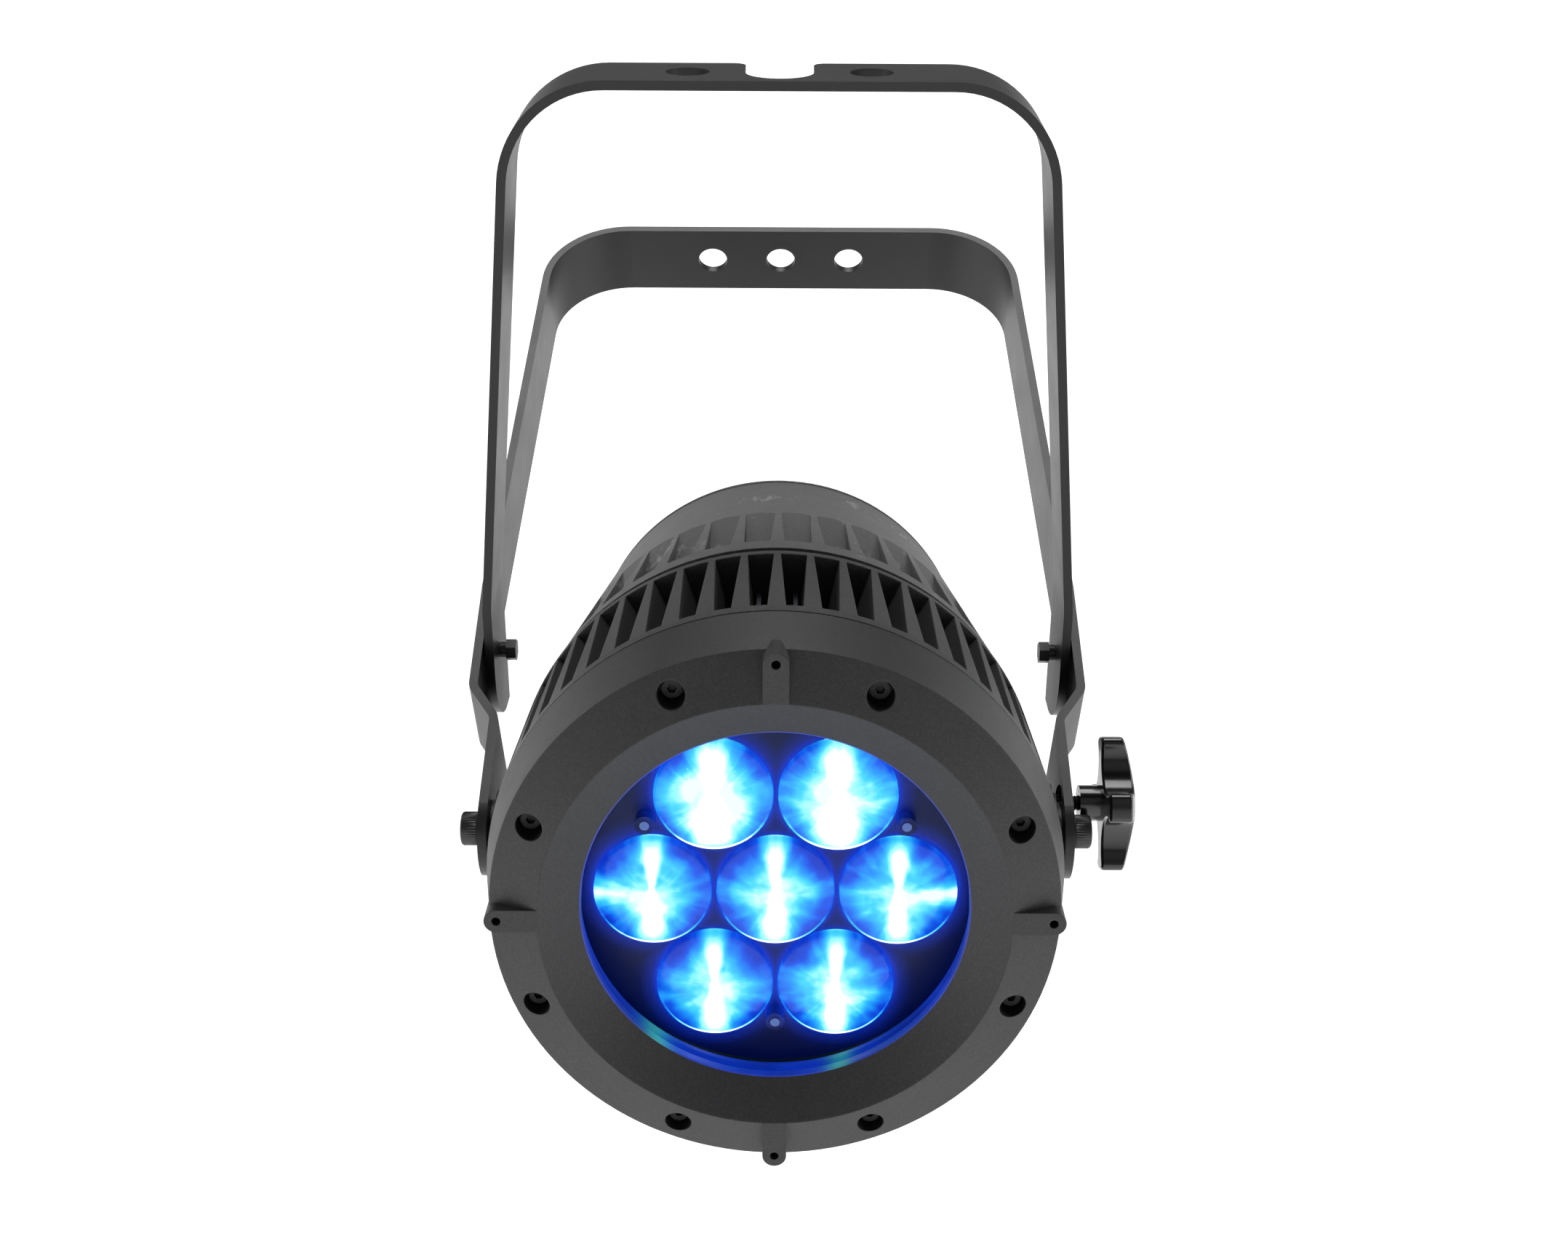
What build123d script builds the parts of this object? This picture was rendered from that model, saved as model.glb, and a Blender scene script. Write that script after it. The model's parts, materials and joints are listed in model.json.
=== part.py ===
from build123d import *
from math import cos, radians, sin, sqrt, tan
import os

# An LED par can with a zoom lens, hung in a main yoke, with a second, folding yoke.
# Frame: the origin is the middle of the clamp hole in the main yoke's bar.
# +X is to the right seen from the front, -Y is towards the audience, +Z is up.
#
# The head is drawn in its own frame: local Z is the depth behind the front plane of the
# bezel, local X is the row's X, and local Y points down. HEAD_AT puts it in place.

# ---- pose at rest (degrees) ----
YOKE_LEAN = 40.5            # main yoke leans away from the front
STAND_LEAN = 25.7           # second yoke leans towards the front
HEAD_TILT = 21.5            # head looks down

# ---- clearances ----
RUNNING = 0.06              # radial, a pin that turns in a hole
BODY_GAP = 0.3              # between faces of pieces that move past each other
LOOSE = 0.35                # radial, around something that passes through freely

# ---- lenses: these drive the diameter of the head ----
LENS_COUNT_RING = 6
LENS_DIAMETER = 42.9
LENS_GAP = 1.7
LENS_SAG = 2.8
LENS_RIM = 2.5
LENS_NECK = 3.0
LENS_TAIL = 10.0
LENS_TAIL_RADIUS = 13.0
LENS_NECK_STEP = 1.05

# ---- radial build-up of the head ----
OPENING_MARGIN = 3.15       # lens cluster to the bezel opening
DISH_WIDTH = 14.5           # opening to the ridge
PLATE_MARGIN = 8.45         # lens cluster to the rim of the lens plate
PLATE_GAP = 2.5             # lens plate to the barrel
BARREL_WALL = 5.0
BARREL_SEAT = 2.7           # step that the heat sink sits on
INNER_FIN_HEIGHT = 6.0
FIN_HEIGHT = 16.9           # outer fins of the housing
FLARE = 4.2                 # bezel edge to the largest radius
GLASS_LAP = 5.8
RETAINER_LAP = 8.5
CORE_GAP = 0.5

# ---- depths behind the front plane ----
DISH_DEPTH = 9.2
CHAMFER_DEPTH = 6.5
LIP_BACK = 12.2
GASKET_THICKNESS = 1.0
GLASS_THICKNESS = 4.0
RETAINER_THICKNESS = 2.0
BEZEL_BACK = 31.0
SEAL_THICKNESS = 0.8
FLANGE_THICKNESS = 5.2
FIN_LENGTH = 59.6
RING_THICKNESS = 3.9
NECK_LENGTH = 6.5
COLLAR_LENGTH = 13.0
SCOOP_LENGTH = 60.0
REAR_END = 247.2
COVER_THICKNESS = 4.0
LENS_FRONT = 22.4
PLATE_THICKNESS = 2.5
BOARD_DEPTH = 66.0
BOARD_THICKNESS = 1.6
SINK_BASE = 7.4
SINK_FIN_LENGTH = 23.0
PIVOT_DEPTH = 71.0
ZOOM_TRAVEL = 13.0

# ---- bezel details ----
BEZEL_SCREWS = 8
COUNTERBORE_RADIUS = 4.9
COUNTERBORE_FLOOR = 13.0
SCREW_RADIUS = 2.0          # M4
SCREW_HEAD_RADIUS = 3.5
SCREW_HEAD_HEIGHT = 4.0
HEX_SOCKET_FLATS = 3.0
RIB_COUNT = 4
RIB_HALF_WIDTH = 4.4
RIB_DEPTH = 12.0
RIB_HOLE_RADIUS = 1.6
RIB_HOLE_DEPTH = 9.0
RIB_HOLE_INSET = 3.2

# ---- fins ----
FIN_COUNT = 52
FIN_WIDTH_FRONT = 6.6
FIN_WIDTH_REAR = 2.6
RING_REAR_DROP = 2.2
INNER_FIN_COUNT = 40
INNER_FIN_THICKNESS = 1.6
SCOOP_COUNT = 40
SCOOP_RIB_FRONT = 5.4
SCOOP_RIB_REAR = 2.2
SCOOP_RUNOUT = 0.3          # height of the scoops' floors over the cone where they fade out
WINDOW_CORNER = 1.2

# ---- rear housing ----
NECK_DROP = 5.0
COLLAR_RADIUS_DROP = 3.3
REAR_RADIUS_DROP = 21.2
REAR_WALL = 4.2
REAR_FLANGE_DEPTH = 7.0
REAR_FLANGE_WIDTH = 12.2
COVER_SCREWS = 8
COVER_SCREW_INSET = 7.0

# ---- inside ----
ROD_RADIUS = 1.75
ROD_MARGIN = 9.4            # circle of the outer lenses' centres to the guide rods
BUSHING_RADIUS = 3.5
BUSHING_PROUD = 6.3         # in front of the lens plate
BUSHING_LENGTH = 11.5       # behind it
ROD_PROUD = 0.4
LEAD_RADIUS = 2.5
LEAD_END = 90.0
NUT_RADIUS = 5.5
NUT_LENGTH = 22.0
MOTOR_SIZE = 26.0
MOTOR_LENGTH = 20.0
EMITTER_SIZE = 9.0
EMITTER_BASE = 2.0
EMITTER_DOME = 3.4
SINK_FIN_PITCH = 6.0
SINK_FIN_THICKNESS = 2.0
SINK_FIN_INSET = 4.0
CHASSIS_DEPTH = 198.0
CHASSIS_THICKNESS = 2.0
CHASSIS_SIZE = (128.0, 76.0)
SUPPLY_SIZE = (104.0, 58.0, 45.0)
DRIVER_DEPTH = 215.0
CONTROL_DEPTH = 238.0
CONTROL_SIZE = (70.0, 50.0)
STANDOFF_RADIUS = 3.0
STANDOFF_X = 58.0
STANDOFF_UP = 30.0

# ---- back panel (x, up) ----
PANEL_SIZE = (80.0, 56.0)
PANEL_UP = 26.0
PANEL_THICKNESS = 2.0
DISPLAY_SIZE = (46.0, 20.0)
DISPLAY_UP = 36.0
BUTTON_COUNT = 4
BUTTON_PITCH = 13.0
BUTTON_UP = 9.0
BUTTON_RADIUS = 4.2
BUTTON_PROUD = 1.8
BUTTON_TRAVEL = 1.2
BUTTON_FLANGE = 1.3
BUTTON_FLANGE_THICKNESS = 1.5
POWER_PLACE = (24.0, -48.0)
POWER_FLANGE = 13.0
POWER_BARREL = 10.0
DATA_PLACE = (20.0, -18.0)
DATA_FLANGE = 10.5
DATA_BARREL = 8.0
SOCKET_LENGTH = 14.0
SOCKET_WALL = 2.0
SOCKET_BEHIND = 12.0
SOCKET_FLANGE_THICKNESS = 3.0
VENT_X = 60.0
VENT_RADIUS = 6.5
EYE_X = -60.0
EYE_BEND = 10.0
EYE_ROD = 3.0
EYE_LEG = 5.0

# ---- yokes ----
STRAP_WIDTH = 35.5
STRAP_THICKNESS = 3.5
YOKE_HEIGHT = 344.0         # tilt pivot to the outer face of the bar
YOKE_END = 17.75
YOKE_STEP_LOW = 41.0
YOKE_STEP_HIGH = 56.0
YOKE_STEP_OUT = 9.8
YOKE_STRAIGHT = 110.0
YOKE_TAPER = 2.6
STEP_BEND = 7.0
SLIGHT_BEND = 60.0
CORNER_BEND = 38.25
CLAMP_HOLE_RADIUS = 7.0
CLAMP_HOLE_PITCH = 33.4
STAND_PIVOT = 89.4          # tilt pivot to the stand's pivot, along the leg
STAND_HEIGHT = 234.0
STAND_END = 31.0
STAND_STRAIGHT = 26.0
STAND_TAPER = 5.1
STAND_END_ROUND = 28.0
STAND_SIDE_GAP = 0.6
NOTCH_RADIUS = 12.5
NOTCH_MOUTH_ROUND = 4.5
STAND_HOLE_RADIUS = 8.0
STAND_BOLT_RADIUS = 2.5
STAND_NUT_FLATS = 8.0
STAND_NUT_LENGTH = 4.4
STAND_SPACER_RADIUS = 3.2
STAND_SPACER_LENGTH = 2.4

# ---- tilt pivot and lock knob ----
BOSS_RADIUS = 15.0
BOSS_PROUD = 1.1
DISC_THICKNESS = 1.9
DISC_RADIUS = 11.0
TILT_BOLT_RADIUS = 4.0      # M8
TILT_HEAD_RADIUS = 6.5
TILT_HEAD_HEIGHT = 6.5
TILT_WASHER_RADIUS = 7.4
TILT_WASHER_THICKNESS = 1.5
TILT_SOCKET_FLATS = 6.0
KNOB_OFFSET = 14.7
KNOB_ANGLE = 21.5           # from the rearward head axis, upwards
KNOB_LUG_RADIUS = 7.5
KNOB_STUD_RADIUS = 3.0      # M6
KNOB_STUD_DEPTH = 14.0
KNOB_WASHER_RADIUS = 6.2
KNOB_WASHER_THICKNESS = 1.2
KNOB_STANDOFF = 5.2         # leg to the knob's hub
KNOB_HUB_RADIUS = 7.0
KNOB_HUB_LENGTH = 8.4
KNOB_LOBE_RADIUS = 26.0
KNOB_LOBE_THICKNESS = 12.6
KNOB_TIP_THICKNESS = 8.0
KNOB_LOBES = 4
KNOB_SCALLOP_RADIUS = 13.0
KNOB_SCALLOP_CENTRE = 24.5
SLOT_HALF_ANGLE = 51.0

# ---- sizes that follow from the ones above ----
lens_radius = LENS_DIAMETER / 2
lens_pitch = LENS_DIAMETER + LENS_GAP
cluster_radius = lens_pitch + lens_radius
rod_circle = lens_pitch + ROD_MARGIN
opening_radius = cluster_radius + OPENING_MARGIN
ridge_radius = opening_radius + DISH_WIDTH
plate_radius = cluster_radius + PLATE_MARGIN
barrel_bore = plate_radius + PLATE_GAP
barrel_radius = barrel_bore + BARREL_WALL
inner_fin_radius = barrel_radius + INNER_FIN_HEIGHT
housing_bore = inner_fin_radius + CORE_GAP
body_radius = housing_bore + FIN_HEIGHT
bezel_edge = body_radius - FLARE
glass_radius = opening_radius + GLASS_LAP
retainer_radius = glass_radius + RETAINER_LAP
screw_circle = (ridge_radius + bezel_edge) / 2
rib_hole_circle = bezel_edge - RIB_HOLE_INSET
glass_front = LIP_BACK + GASKET_THICKNESS
glass_back = glass_front + GLASS_THICKNESS
barrel_front = glass_back + RETAINER_THICKNESS + BODY_GAP
flange_front = BEZEL_BACK + SEAL_THICKNESS
fins_front = flange_front + FLANGE_THICKNESS
fins_back = fins_front + FIN_LENGTH
housing_back = fins_back + RING_THICKNESS
neck_back = housing_back + NECK_LENGTH
collar_back = neck_back + COLLAR_LENGTH
scoop_back = collar_back + SCOOP_LENGTH
collar_radius = body_radius - COLLAR_RADIUS_DROP
rear_radius = body_radius - REAR_RADIUS_DROP
cone_slope = (collar_radius - rear_radius) / (REAR_END - neck_back)
scoop_floor = collar_radius - cone_slope * (scoop_back - neck_back) + SCOOP_RUNOUT
cover_front = REAR_END + SEAL_THICKNESS
cover_back = cover_front + COVER_THICKNESS
panel_back = cover_back + PANEL_THICKNESS
cover_screw_circle = rear_radius - COVER_SCREW_INSET
lens_seat = LENS_FRONT + LENS_SAG + LENS_RIM
plate_back = lens_seat + PLATE_THICKNESS
lead_start = plate_back + ZOOM_TRAVEL + 2 * BODY_GAP
bushing_front = lens_seat - BUSHING_PROUD
sink_front = BOARD_DEPTH + BOARD_THICKNESS
sink_back = sink_front + SINK_BASE
lens_neck_radius = lens_radius - LENS_NECK_STEP
boss_face = body_radius + BOSS_PROUD
leg_inner = boss_face + DISC_THICKNESS + BODY_GAP
leg_outer = leg_inner + STRAP_THICKNESS
upper_inner = leg_inner + YOKE_STEP_OUT
bar_middle = YOKE_HEIGHT - STRAP_THICKNESS / 2
stand_outer = upper_inner - STAND_SIDE_GAP
stand_inner = stand_outer - STRAP_THICKNESS
knob_start = leg_outer + KNOB_STANDOFF
lobe_start = knob_start + KNOB_HUB_LENGTH
PIVOT = (0, -bar_middle * sin(radians(YOKE_LEAN)), -bar_middle * cos(radians(YOKE_LEAN)))

YOKE_AT = Pos(*PIVOT) * Rot(-YOKE_LEAN, 0, 0)
STAND_AT = YOKE_AT * Pos(0, 0, STAND_PIVOT) * Rot(YOKE_LEAN + STAND_LEAN, 0, 0)
HEAD_AT = Pos(*PIVOT) * Rot(HEAD_TILT, 0, 0) * Pos(0, -PIVOT_DEPTH, 0) * Rot(-90, 0, 0)
LOW = (Align.CENTER, Align.CENTER, Align.MIN)
MARGIN = 5.0                # how far cutters run past the faces they open


# ---- helpers ----
def ring(*corners):
    """Solid of revolution about the head axis, from (radius, depth) corners."""
    return revolve(Plane.XZ * make_face(Polyline(*corners, close=True)), Axis.Z)


def ring_of(outline):
    """Solid of revolution from a closed outline of lines and arcs."""
    return revolve(Plane.XZ * make_face(outline), Axis.Z)


def rod(radius, start, end, x=0.0, up=0.0):
    """Cylinder along the head axis between two depths."""
    return Pos(x, -up, start) * Cylinder(radius, end - start, align=LOW)


def block(size, start, end, x=0.0, up=0.0):
    """Box along the head axis between two depths."""
    return Pos(x, -up, start) * Box(size[0], size[1], end - start, align=LOW)


def side_rod(radius, start, end, depth=PIVOT_DEPTH, up=0.0, side=1):
    """Cylinder along X on one side of the head, between two distances from its axis."""
    return Pos(side * start, -up, depth) * Rot(0, side * 90, 0) * Cylinder(radius, end - start, align=LOW)


def around(radius, count, first=0.0):
    """Places (x, up) evenly spaced on a circle."""
    angles = [radians(first + 360.0 * i / count) for i in range(count)]
    return [(radius * cos(a), radius * sin(a)) for a in angles]


def spokes(shape, count, first=0.0):
    """Copies of a shape turned about the head axis."""
    return [Rot(0, 0, first + 360.0 * i / count) * shape for i in range(count)]


def hexagon(flats, length):
    """Hexagonal bar along +Z."""
    return extrude(RegularPolygon(flats / 2, 6, major_radius=False), amount=length)


def write(name, shape, place):
    """Write one node, moved to where it sits in the part."""
    solids = shape if isinstance(shape, list) else [shape]
    placed = [place * solid for solid in solids]
    whole = placed[0] if len(placed) == 1 else Compound(children=placed)
    export_step(whole, f"parts/{name}.step")


def lens_places():
    return [(0.0, 0.0)] + around(lens_pitch, LENS_COUNT_RING)


def rod_places():
    return around(rod_circle, 3, 30.0)


# ---- bezel and front glass ----
def front_bezel():
    """Cast ring: dished inside the ridge, chamfered outside it, with a flared side."""
    body = ring(
        (opening_radius, DISH_DEPTH), (ridge_radius, 0), (bezel_edge, CHAMFER_DEPTH),
        (body_radius, BEZEL_BACK), (retainer_radius + LOOSE, BEZEL_BACK),
        (retainer_radius + LOOSE, glass_back), (glass_radius + LOOSE, glass_back),
        (glass_radius + LOOSE, LIP_BACK), (opening_radius, LIP_BACK))
    rib = Pos((ridge_radius + rib_hole_circle) / 2, 0, 0) * Box(
        rib_hole_circle - ridge_radius, 2 * RIB_HALF_WIDTH, RIB_DEPTH, align=LOW)
    rib += Pos(rib_hole_circle, 0, 0) * Cylinder(RIB_HALF_WIDTH, RIB_DEPTH, align=LOW)
    body += spokes(rib, RIB_COUNT)
    for x, up in around(rib_hole_circle, RIB_COUNT):
        body -= rod(RIB_HOLE_RADIUS, -MARGIN, RIB_HOLE_DEPTH, x, up)
    for x, up in around(screw_circle, BEZEL_SCREWS, 180.0 / BEZEL_SCREWS):
        body -= rod(COUNTERBORE_RADIUS, -MARGIN, COUNTERBORE_FLOOR, x, up)
        body -= rod(SCREW_RADIUS, 0, BEZEL_BACK + MARGIN, x, up)
    return body


def cap_screw(x, up, seat, tip):
    """Socket head screw: the head is in front of the seat and the tip is behind it."""
    screw = rod(SCREW_HEAD_RADIUS, seat - SCREW_HEAD_HEIGHT, seat, x, up)
    screw += rod(SCREW_RADIUS, seat, tip, x, up)
    return screw - Pos(x, -up, seat - SCREW_HEAD_HEIGHT) * hexagon(HEX_SOCKET_FLATS, SCREW_HEAD_HEIGHT / 2)


def bezel_screws():
    places = around(screw_circle, BEZEL_SCREWS, 180.0 / BEZEL_SCREWS)
    return [cap_screw(x, up, COUNTERBORE_FLOOR, fins_front - BODY_GAP) for x, up in places]


def flat_ring(inner, outer, front, back):
    return ring((inner, front), (outer, front), (outer, back), (inner, back))


# ---- finned housing ----
def tapered_bar(inner, outer, front, back, width_front, width_back, corner=0.0):
    """Bar that stands on the X axis and gets narrower or wider towards the back."""
    outline = make_face(Polyline(
        (-width_front / 2, front), (width_front / 2, front),
        (width_back / 2, back), (-width_back / 2, back), close=True))
    if corner:
        outline = fillet(outline.vertices(), corner)
    plane = Plane(origin=(inner, 0, 0), x_dir=(0, 1, 0), z_dir=(1, 0, 0))
    return extrude(plane * outline, amount=outer - inner)


def pivot_boss(side):
    """Round boss that the leg bears on, on one side of the head."""
    return side_rod(BOSS_RADIUS, housing_bore, boss_face, side=side)


def knob_depth():
    return PIVOT_DEPTH + KNOB_OFFSET * cos(radians(KNOB_ANGLE))


def knob_up():
    return KNOB_OFFSET * sin(radians(KNOB_ANGLE))


def fin_housing():
    """Two flanges joined by tapered fins, open between the fins down to the barrel."""
    rear = body_radius - RING_REAR_DROP
    body = ring(
        (barrel_radius, flange_front), (body_radius, flange_front), (body_radius, fins_front),
        (rear, housing_back), (barrel_radius, housing_back))
    fin = body & tapered_bar(
        housing_bore, body_radius + MARGIN, fins_front, fins_back, FIN_WIDTH_FRONT, FIN_WIDTH_REAR)
    body -= flat_ring(barrel_radius - MARGIN, body_radius + MARGIN, fins_front, fins_back)
    body += spokes(fin, FIN_COUNT)
    for side in (-1, 1):
        body += pivot_boss(side)
    body += side_rod(KNOB_LUG_RADIUS, housing_bore, boss_face, knob_depth(), knob_up())
    for side in (-1, 1):
        body -= side_rod(TILT_BOLT_RADIUS, housing_bore + MARGIN, boss_face + MARGIN, side=side)
    body -= side_rod(
        KNOB_STUD_RADIUS + RUNNING, boss_face - KNOB_STUD_DEPTH, boss_face + MARGIN,
        knob_depth(), knob_up())
    for x, up in around(screw_circle, BEZEL_SCREWS, 180.0 / BEZEL_SCREWS):
        body -= rod(SCREW_RADIUS, flange_front - MARGIN, fins_front, x, up)
    return body


def optics_barrel():
    """Tube that the lens plate slides in, with thin cooling fins seen between the outer ones."""
    body = flat_ring(barrel_bore, barrel_radius, barrel_front, fins_back)
    body -= flat_ring(0.1, barrel_bore + BARREL_SEAT, sink_front, fins_back + MARGIN)
    fin = Pos((barrel_radius + inner_fin_radius) / 2 - 1, 0, fins_front + BODY_GAP) * Box(
        INNER_FIN_HEIGHT + 2, INNER_FIN_THICKNESS, FIN_LENGTH - 2 * BODY_GAP, align=LOW)
    fins = spokes(fin, INNER_FIN_COUNT, 180.0 / INNER_FIN_COUNT)
    return body + fins


# ---- light engine ----
def led_board():
    board = rod(barrel_bore - BODY_GAP, BOARD_DEPTH, sink_front)
    for x, up in rod_places():
        board -= rod(ROD_RADIUS, BOARD_DEPTH - MARGIN, sink_front + MARGIN, x, up)
    return board - rod(LEAD_RADIUS + LOOSE, BOARD_DEPTH - MARGIN, sink_front + MARGIN, 0, rod_circle)


def led_emitter(x, up):
    """Square package with a small clear dome."""
    base_front = BOARD_DEPTH - EMITTER_BASE
    emitter = block((EMITTER_SIZE, EMITTER_SIZE), base_front, BOARD_DEPTH, x, up)
    dome = Pos(x, -up, base_front) * Sphere(EMITTER_DOME, arc_size1=-90, arc_size2=0)
    return emitter + dome


def heat_sink():
    """Base plate behind the board, with straight fins that leave room for the motor."""
    base = rod(barrel_bore + BARREL_SEAT - BODY_GAP, sink_front, sink_back)
    reach = barrel_bore - SINK_FIN_INSET
    count = int(reach / SINK_FIN_PITCH)
    comb = Part()
    for i in range(-count, count + 1):
        x = i * SINK_FIN_PITCH
        half = sqrt(reach ** 2 - x ** 2)
        comb += block((SINK_FIN_THICKNESS, 2 * half), sink_back, sink_back + SINK_FIN_LENGTH, x)
    room = MOTOR_SIZE + 2 * LOOSE
    comb -= block((room, room), sink_back - MARGIN, sink_back + SINK_FIN_LENGTH + MARGIN, 0, rod_circle)
    edge = block((room, room), sink_back, sink_back + SINK_FIN_LENGTH + MARGIN, 0, rod_circle + MOTOR_SIZE)
    return base + (comb - edge) - rod(LEAD_RADIUS + LOOSE, 0, sink_back + MARGIN, 0, rod_circle)


def zoom_motor():
    body = block((MOTOR_SIZE, MOTOR_SIZE), sink_back, sink_back + MOTOR_LENGTH, 0, rod_circle)
    body = fillet(body.edges().filter_by(Axis.Z), 3.0)
    return body - rod(LEAD_RADIUS + RUNNING, sink_back - MARGIN, LEAD_END + BODY_GAP, 0, rod_circle)


# ---- zoom carriage ----
def lens_plate():
    """Disc with a hole for each lens, and a long bushing through it for each guide rod."""
    plate = rod(plate_radius, lens_seat, plate_back)
    for x, up in rod_places():
        plate += rod(BUSHING_RADIUS, bushing_front, plate_back + BUSHING_LENGTH, x, up)
        plate -= rod(
            ROD_RADIUS + RUNNING, bushing_front - MARGIN, plate_back + BUSHING_LENGTH + MARGIN, x, up)
    for x, up in lens_places():
        plate -= rod(lens_neck_radius, lens_seat - MARGIN, plate_back + MARGIN, x, up)
    return plate


def zoom_lens(x, up):
    """Domed front, a rim that rests on the plate, and a tail that narrows to the emitter."""
    curve = (lens_radius ** 2 + LENS_SAG ** 2) / (2 * LENS_SAG)
    halfway = curve - sqrt(curve ** 2 - (lens_radius / 2) ** 2)
    rim = LENS_FRONT + LENS_SAG
    dome = ThreePointArc((0, LENS_FRONT), (lens_radius / 2, LENS_FRONT + halfway), (lens_radius, rim))
    neck_back = lens_seat + LENS_NECK
    side = Polyline(
        (lens_radius, rim), (lens_radius, lens_seat), (lens_neck_radius, lens_seat),
        (lens_neck_radius, neck_back), (LENS_TAIL_RADIUS, neck_back + LENS_TAIL),
        (0, neck_back + LENS_TAIL), (0, LENS_FRONT))
    return Pos(x, -up, 0) * ring_of(Curve() + [dome, side])


def guide_rod(x, up):
    return rod(ROD_RADIUS, bushing_front - ROD_PROUD, sink_front, x, up)


def zoom_nut():
    """Long tube nut on the back of the lens plate, so the lead screw stays behind the plate."""
    nut = rod(NUT_RADIUS, plate_back, plate_back + NUT_LENGTH, 0, rod_circle)
    return nut - rod(
        LEAD_RADIUS + RUNNING, plate_back - MARGIN, plate_back + NUT_LENGTH + MARGIN, 0, rod_circle)


# ---- rear housing and back panel ----
def cone_radius(depth):
    return collar_radius - cone_slope * (depth - neck_back)


def rear_housing():
    """Hollow cone: a neck, a collar, scooped fins, then a plain cap."""
    shell = ring(
        (collar_radius - NECK_DROP, housing_back), (collar_radius - NECK_DROP, neck_back),
        (collar_radius, neck_back), (rear_radius, REAR_END),
        (rear_radius - REAR_FLANGE_WIDTH, REAR_END),
        (rear_radius - REAR_FLANGE_WIDTH, REAR_END - REAR_FLANGE_DEPTH),
        (rear_radius - REAR_WALL, REAR_END - REAR_FLANGE_DEPTH),
        (scoop_floor - REAR_WALL, scoop_back), (scoop_floor - REAR_WALL, housing_back))
    pitch = 360.0 / SCOOP_COUNT
    front_room = radians(pitch) * cone_radius(collar_back) - SCOOP_RIB_FRONT
    back_room = radians(pitch) * scoop_floor - SCOOP_RIB_REAR
    scoop = tapered_bar(
        scoop_floor, collar_radius + MARGIN, collar_back, scoop_back, front_room, back_room, WINDOW_CORNER)
    shell -= spokes(scoop, SCOOP_COUNT, pitch / 2 + 90.0)
    for x, up in around(cover_screw_circle, COVER_SCREWS, 180.0 / COVER_SCREWS):
        shell -= rod(SCREW_RADIUS, REAR_END - REAR_FLANGE_DEPTH - MARGIN, REAR_END + MARGIN, x, up)
    return shell


def button_places():
    first = -(BUTTON_COUNT - 1) / 2
    return [((first + i) * BUTTON_PITCH, BUTTON_UP) for i in range(BUTTON_COUNT)]


def mirrored(place):
    return [place, (-place[0], place[1])]


def corner_places(half_x, half_up, up=0.0):
    return [(sx * half_x, up + sz * half_up) for sx in (-1, 1) for sz in (-1, 1)]


def control_post_places():
    return corner_places(CONTROL_SIZE[0] / 2 - MARGIN, CONTROL_SIZE[1] / 2 - MARGIN, PANEL_UP)


def rear_cover():
    """Round plate on the back, with the holes for everything on it."""
    cover = rod(rear_radius, cover_front, cover_back)
    cover = fillet(cover.edges().group_by(Axis.Z)[-1], COVER_THICKNESS / 2)
    for x, up in control_post_places():
        cover += rod(STANDOFF_RADIUS, CONTROL_DEPTH + BOARD_THICKNESS, cover_front, x, up)
    through = (cover_front - MARGIN, cover_back + MARGIN)
    for x, up in button_places():
        cover -= rod(BUTTON_RADIUS + LOOSE, *through, x, up)
    for x, up in mirrored(POWER_PLACE):
        cover -= rod(POWER_BARREL, *through, x, up)
    for x, up in mirrored(DATA_PLACE):
        cover -= rod(DATA_BARREL, *through, x, up)
    for x, up in around(cover_screw_circle, COVER_SCREWS, 180.0 / COVER_SCREWS):
        cover -= rod(SCREW_RADIUS, *through, x, up)
    return cover - block(DISPLAY_SIZE, *through, 0, DISPLAY_UP)


def rear_gasket():
    gasket = flat_ring(rear_radius - REAR_FLANGE_WIDTH, rear_radius - 1.0, REAR_END, cover_front)
    for x, up in around(cover_screw_circle, COVER_SCREWS, 180.0 / COVER_SCREWS):
        gasket -= rod(SCREW_RADIUS, REAR_END - MARGIN, cover_front + MARGIN, x, up)
    return gasket


def cover_screw(x, up):
    """Button head screw, entered from the back."""
    head = rod(SCREW_HEAD_RADIUS, cover_back, cover_back + SCREW_HEAD_HEIGHT / 2, x, up)
    head = fillet(head.edges().group_by(Axis.Z)[-1], SCREW_HEAD_HEIGHT / 4)
    socket = Pos(x, -up, cover_back + SCREW_HEAD_HEIGHT / 4) * hexagon(HEX_SOCKET_FLATS, SCREW_HEAD_HEIGHT)
    return head + rod(SCREW_RADIUS, REAR_END - REAR_FLANGE_DEPTH, cover_back, x, up) - socket


def control_panel():
    """Flat plate around the display window and the buttons."""
    panel = block(PANEL_SIZE, cover_back, panel_back, 0, PANEL_UP)
    panel = fillet(panel.edges().filter_by(Axis.Z), 5.0)
    for x, up in button_places():
        panel -= rod(BUTTON_RADIUS + LOOSE, cover_back - MARGIN, panel_back + MARGIN, x, up)
    return panel - block(DISPLAY_SIZE, cover_back - MARGIN, panel_back + MARGIN, 0, DISPLAY_UP)


def display():
    return block(DISPLAY_SIZE, cover_front, panel_back - 0.6, 0, DISPLAY_UP)


def control_board():
    board = block(CONTROL_SIZE, CONTROL_DEPTH, CONTROL_DEPTH + BOARD_THICKNESS, 0, PANEL_UP)
    stop = button_front() - BUTTON_TRAVEL - BODY_GAP
    for x, up in button_places():
        board += rod(2.0, CONTROL_DEPTH + BOARD_THICKNESS, stop, x, up)
    return board


def button_front():
    return cover_front - BODY_GAP - BUTTON_FLANGE_THICKNESS


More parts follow.
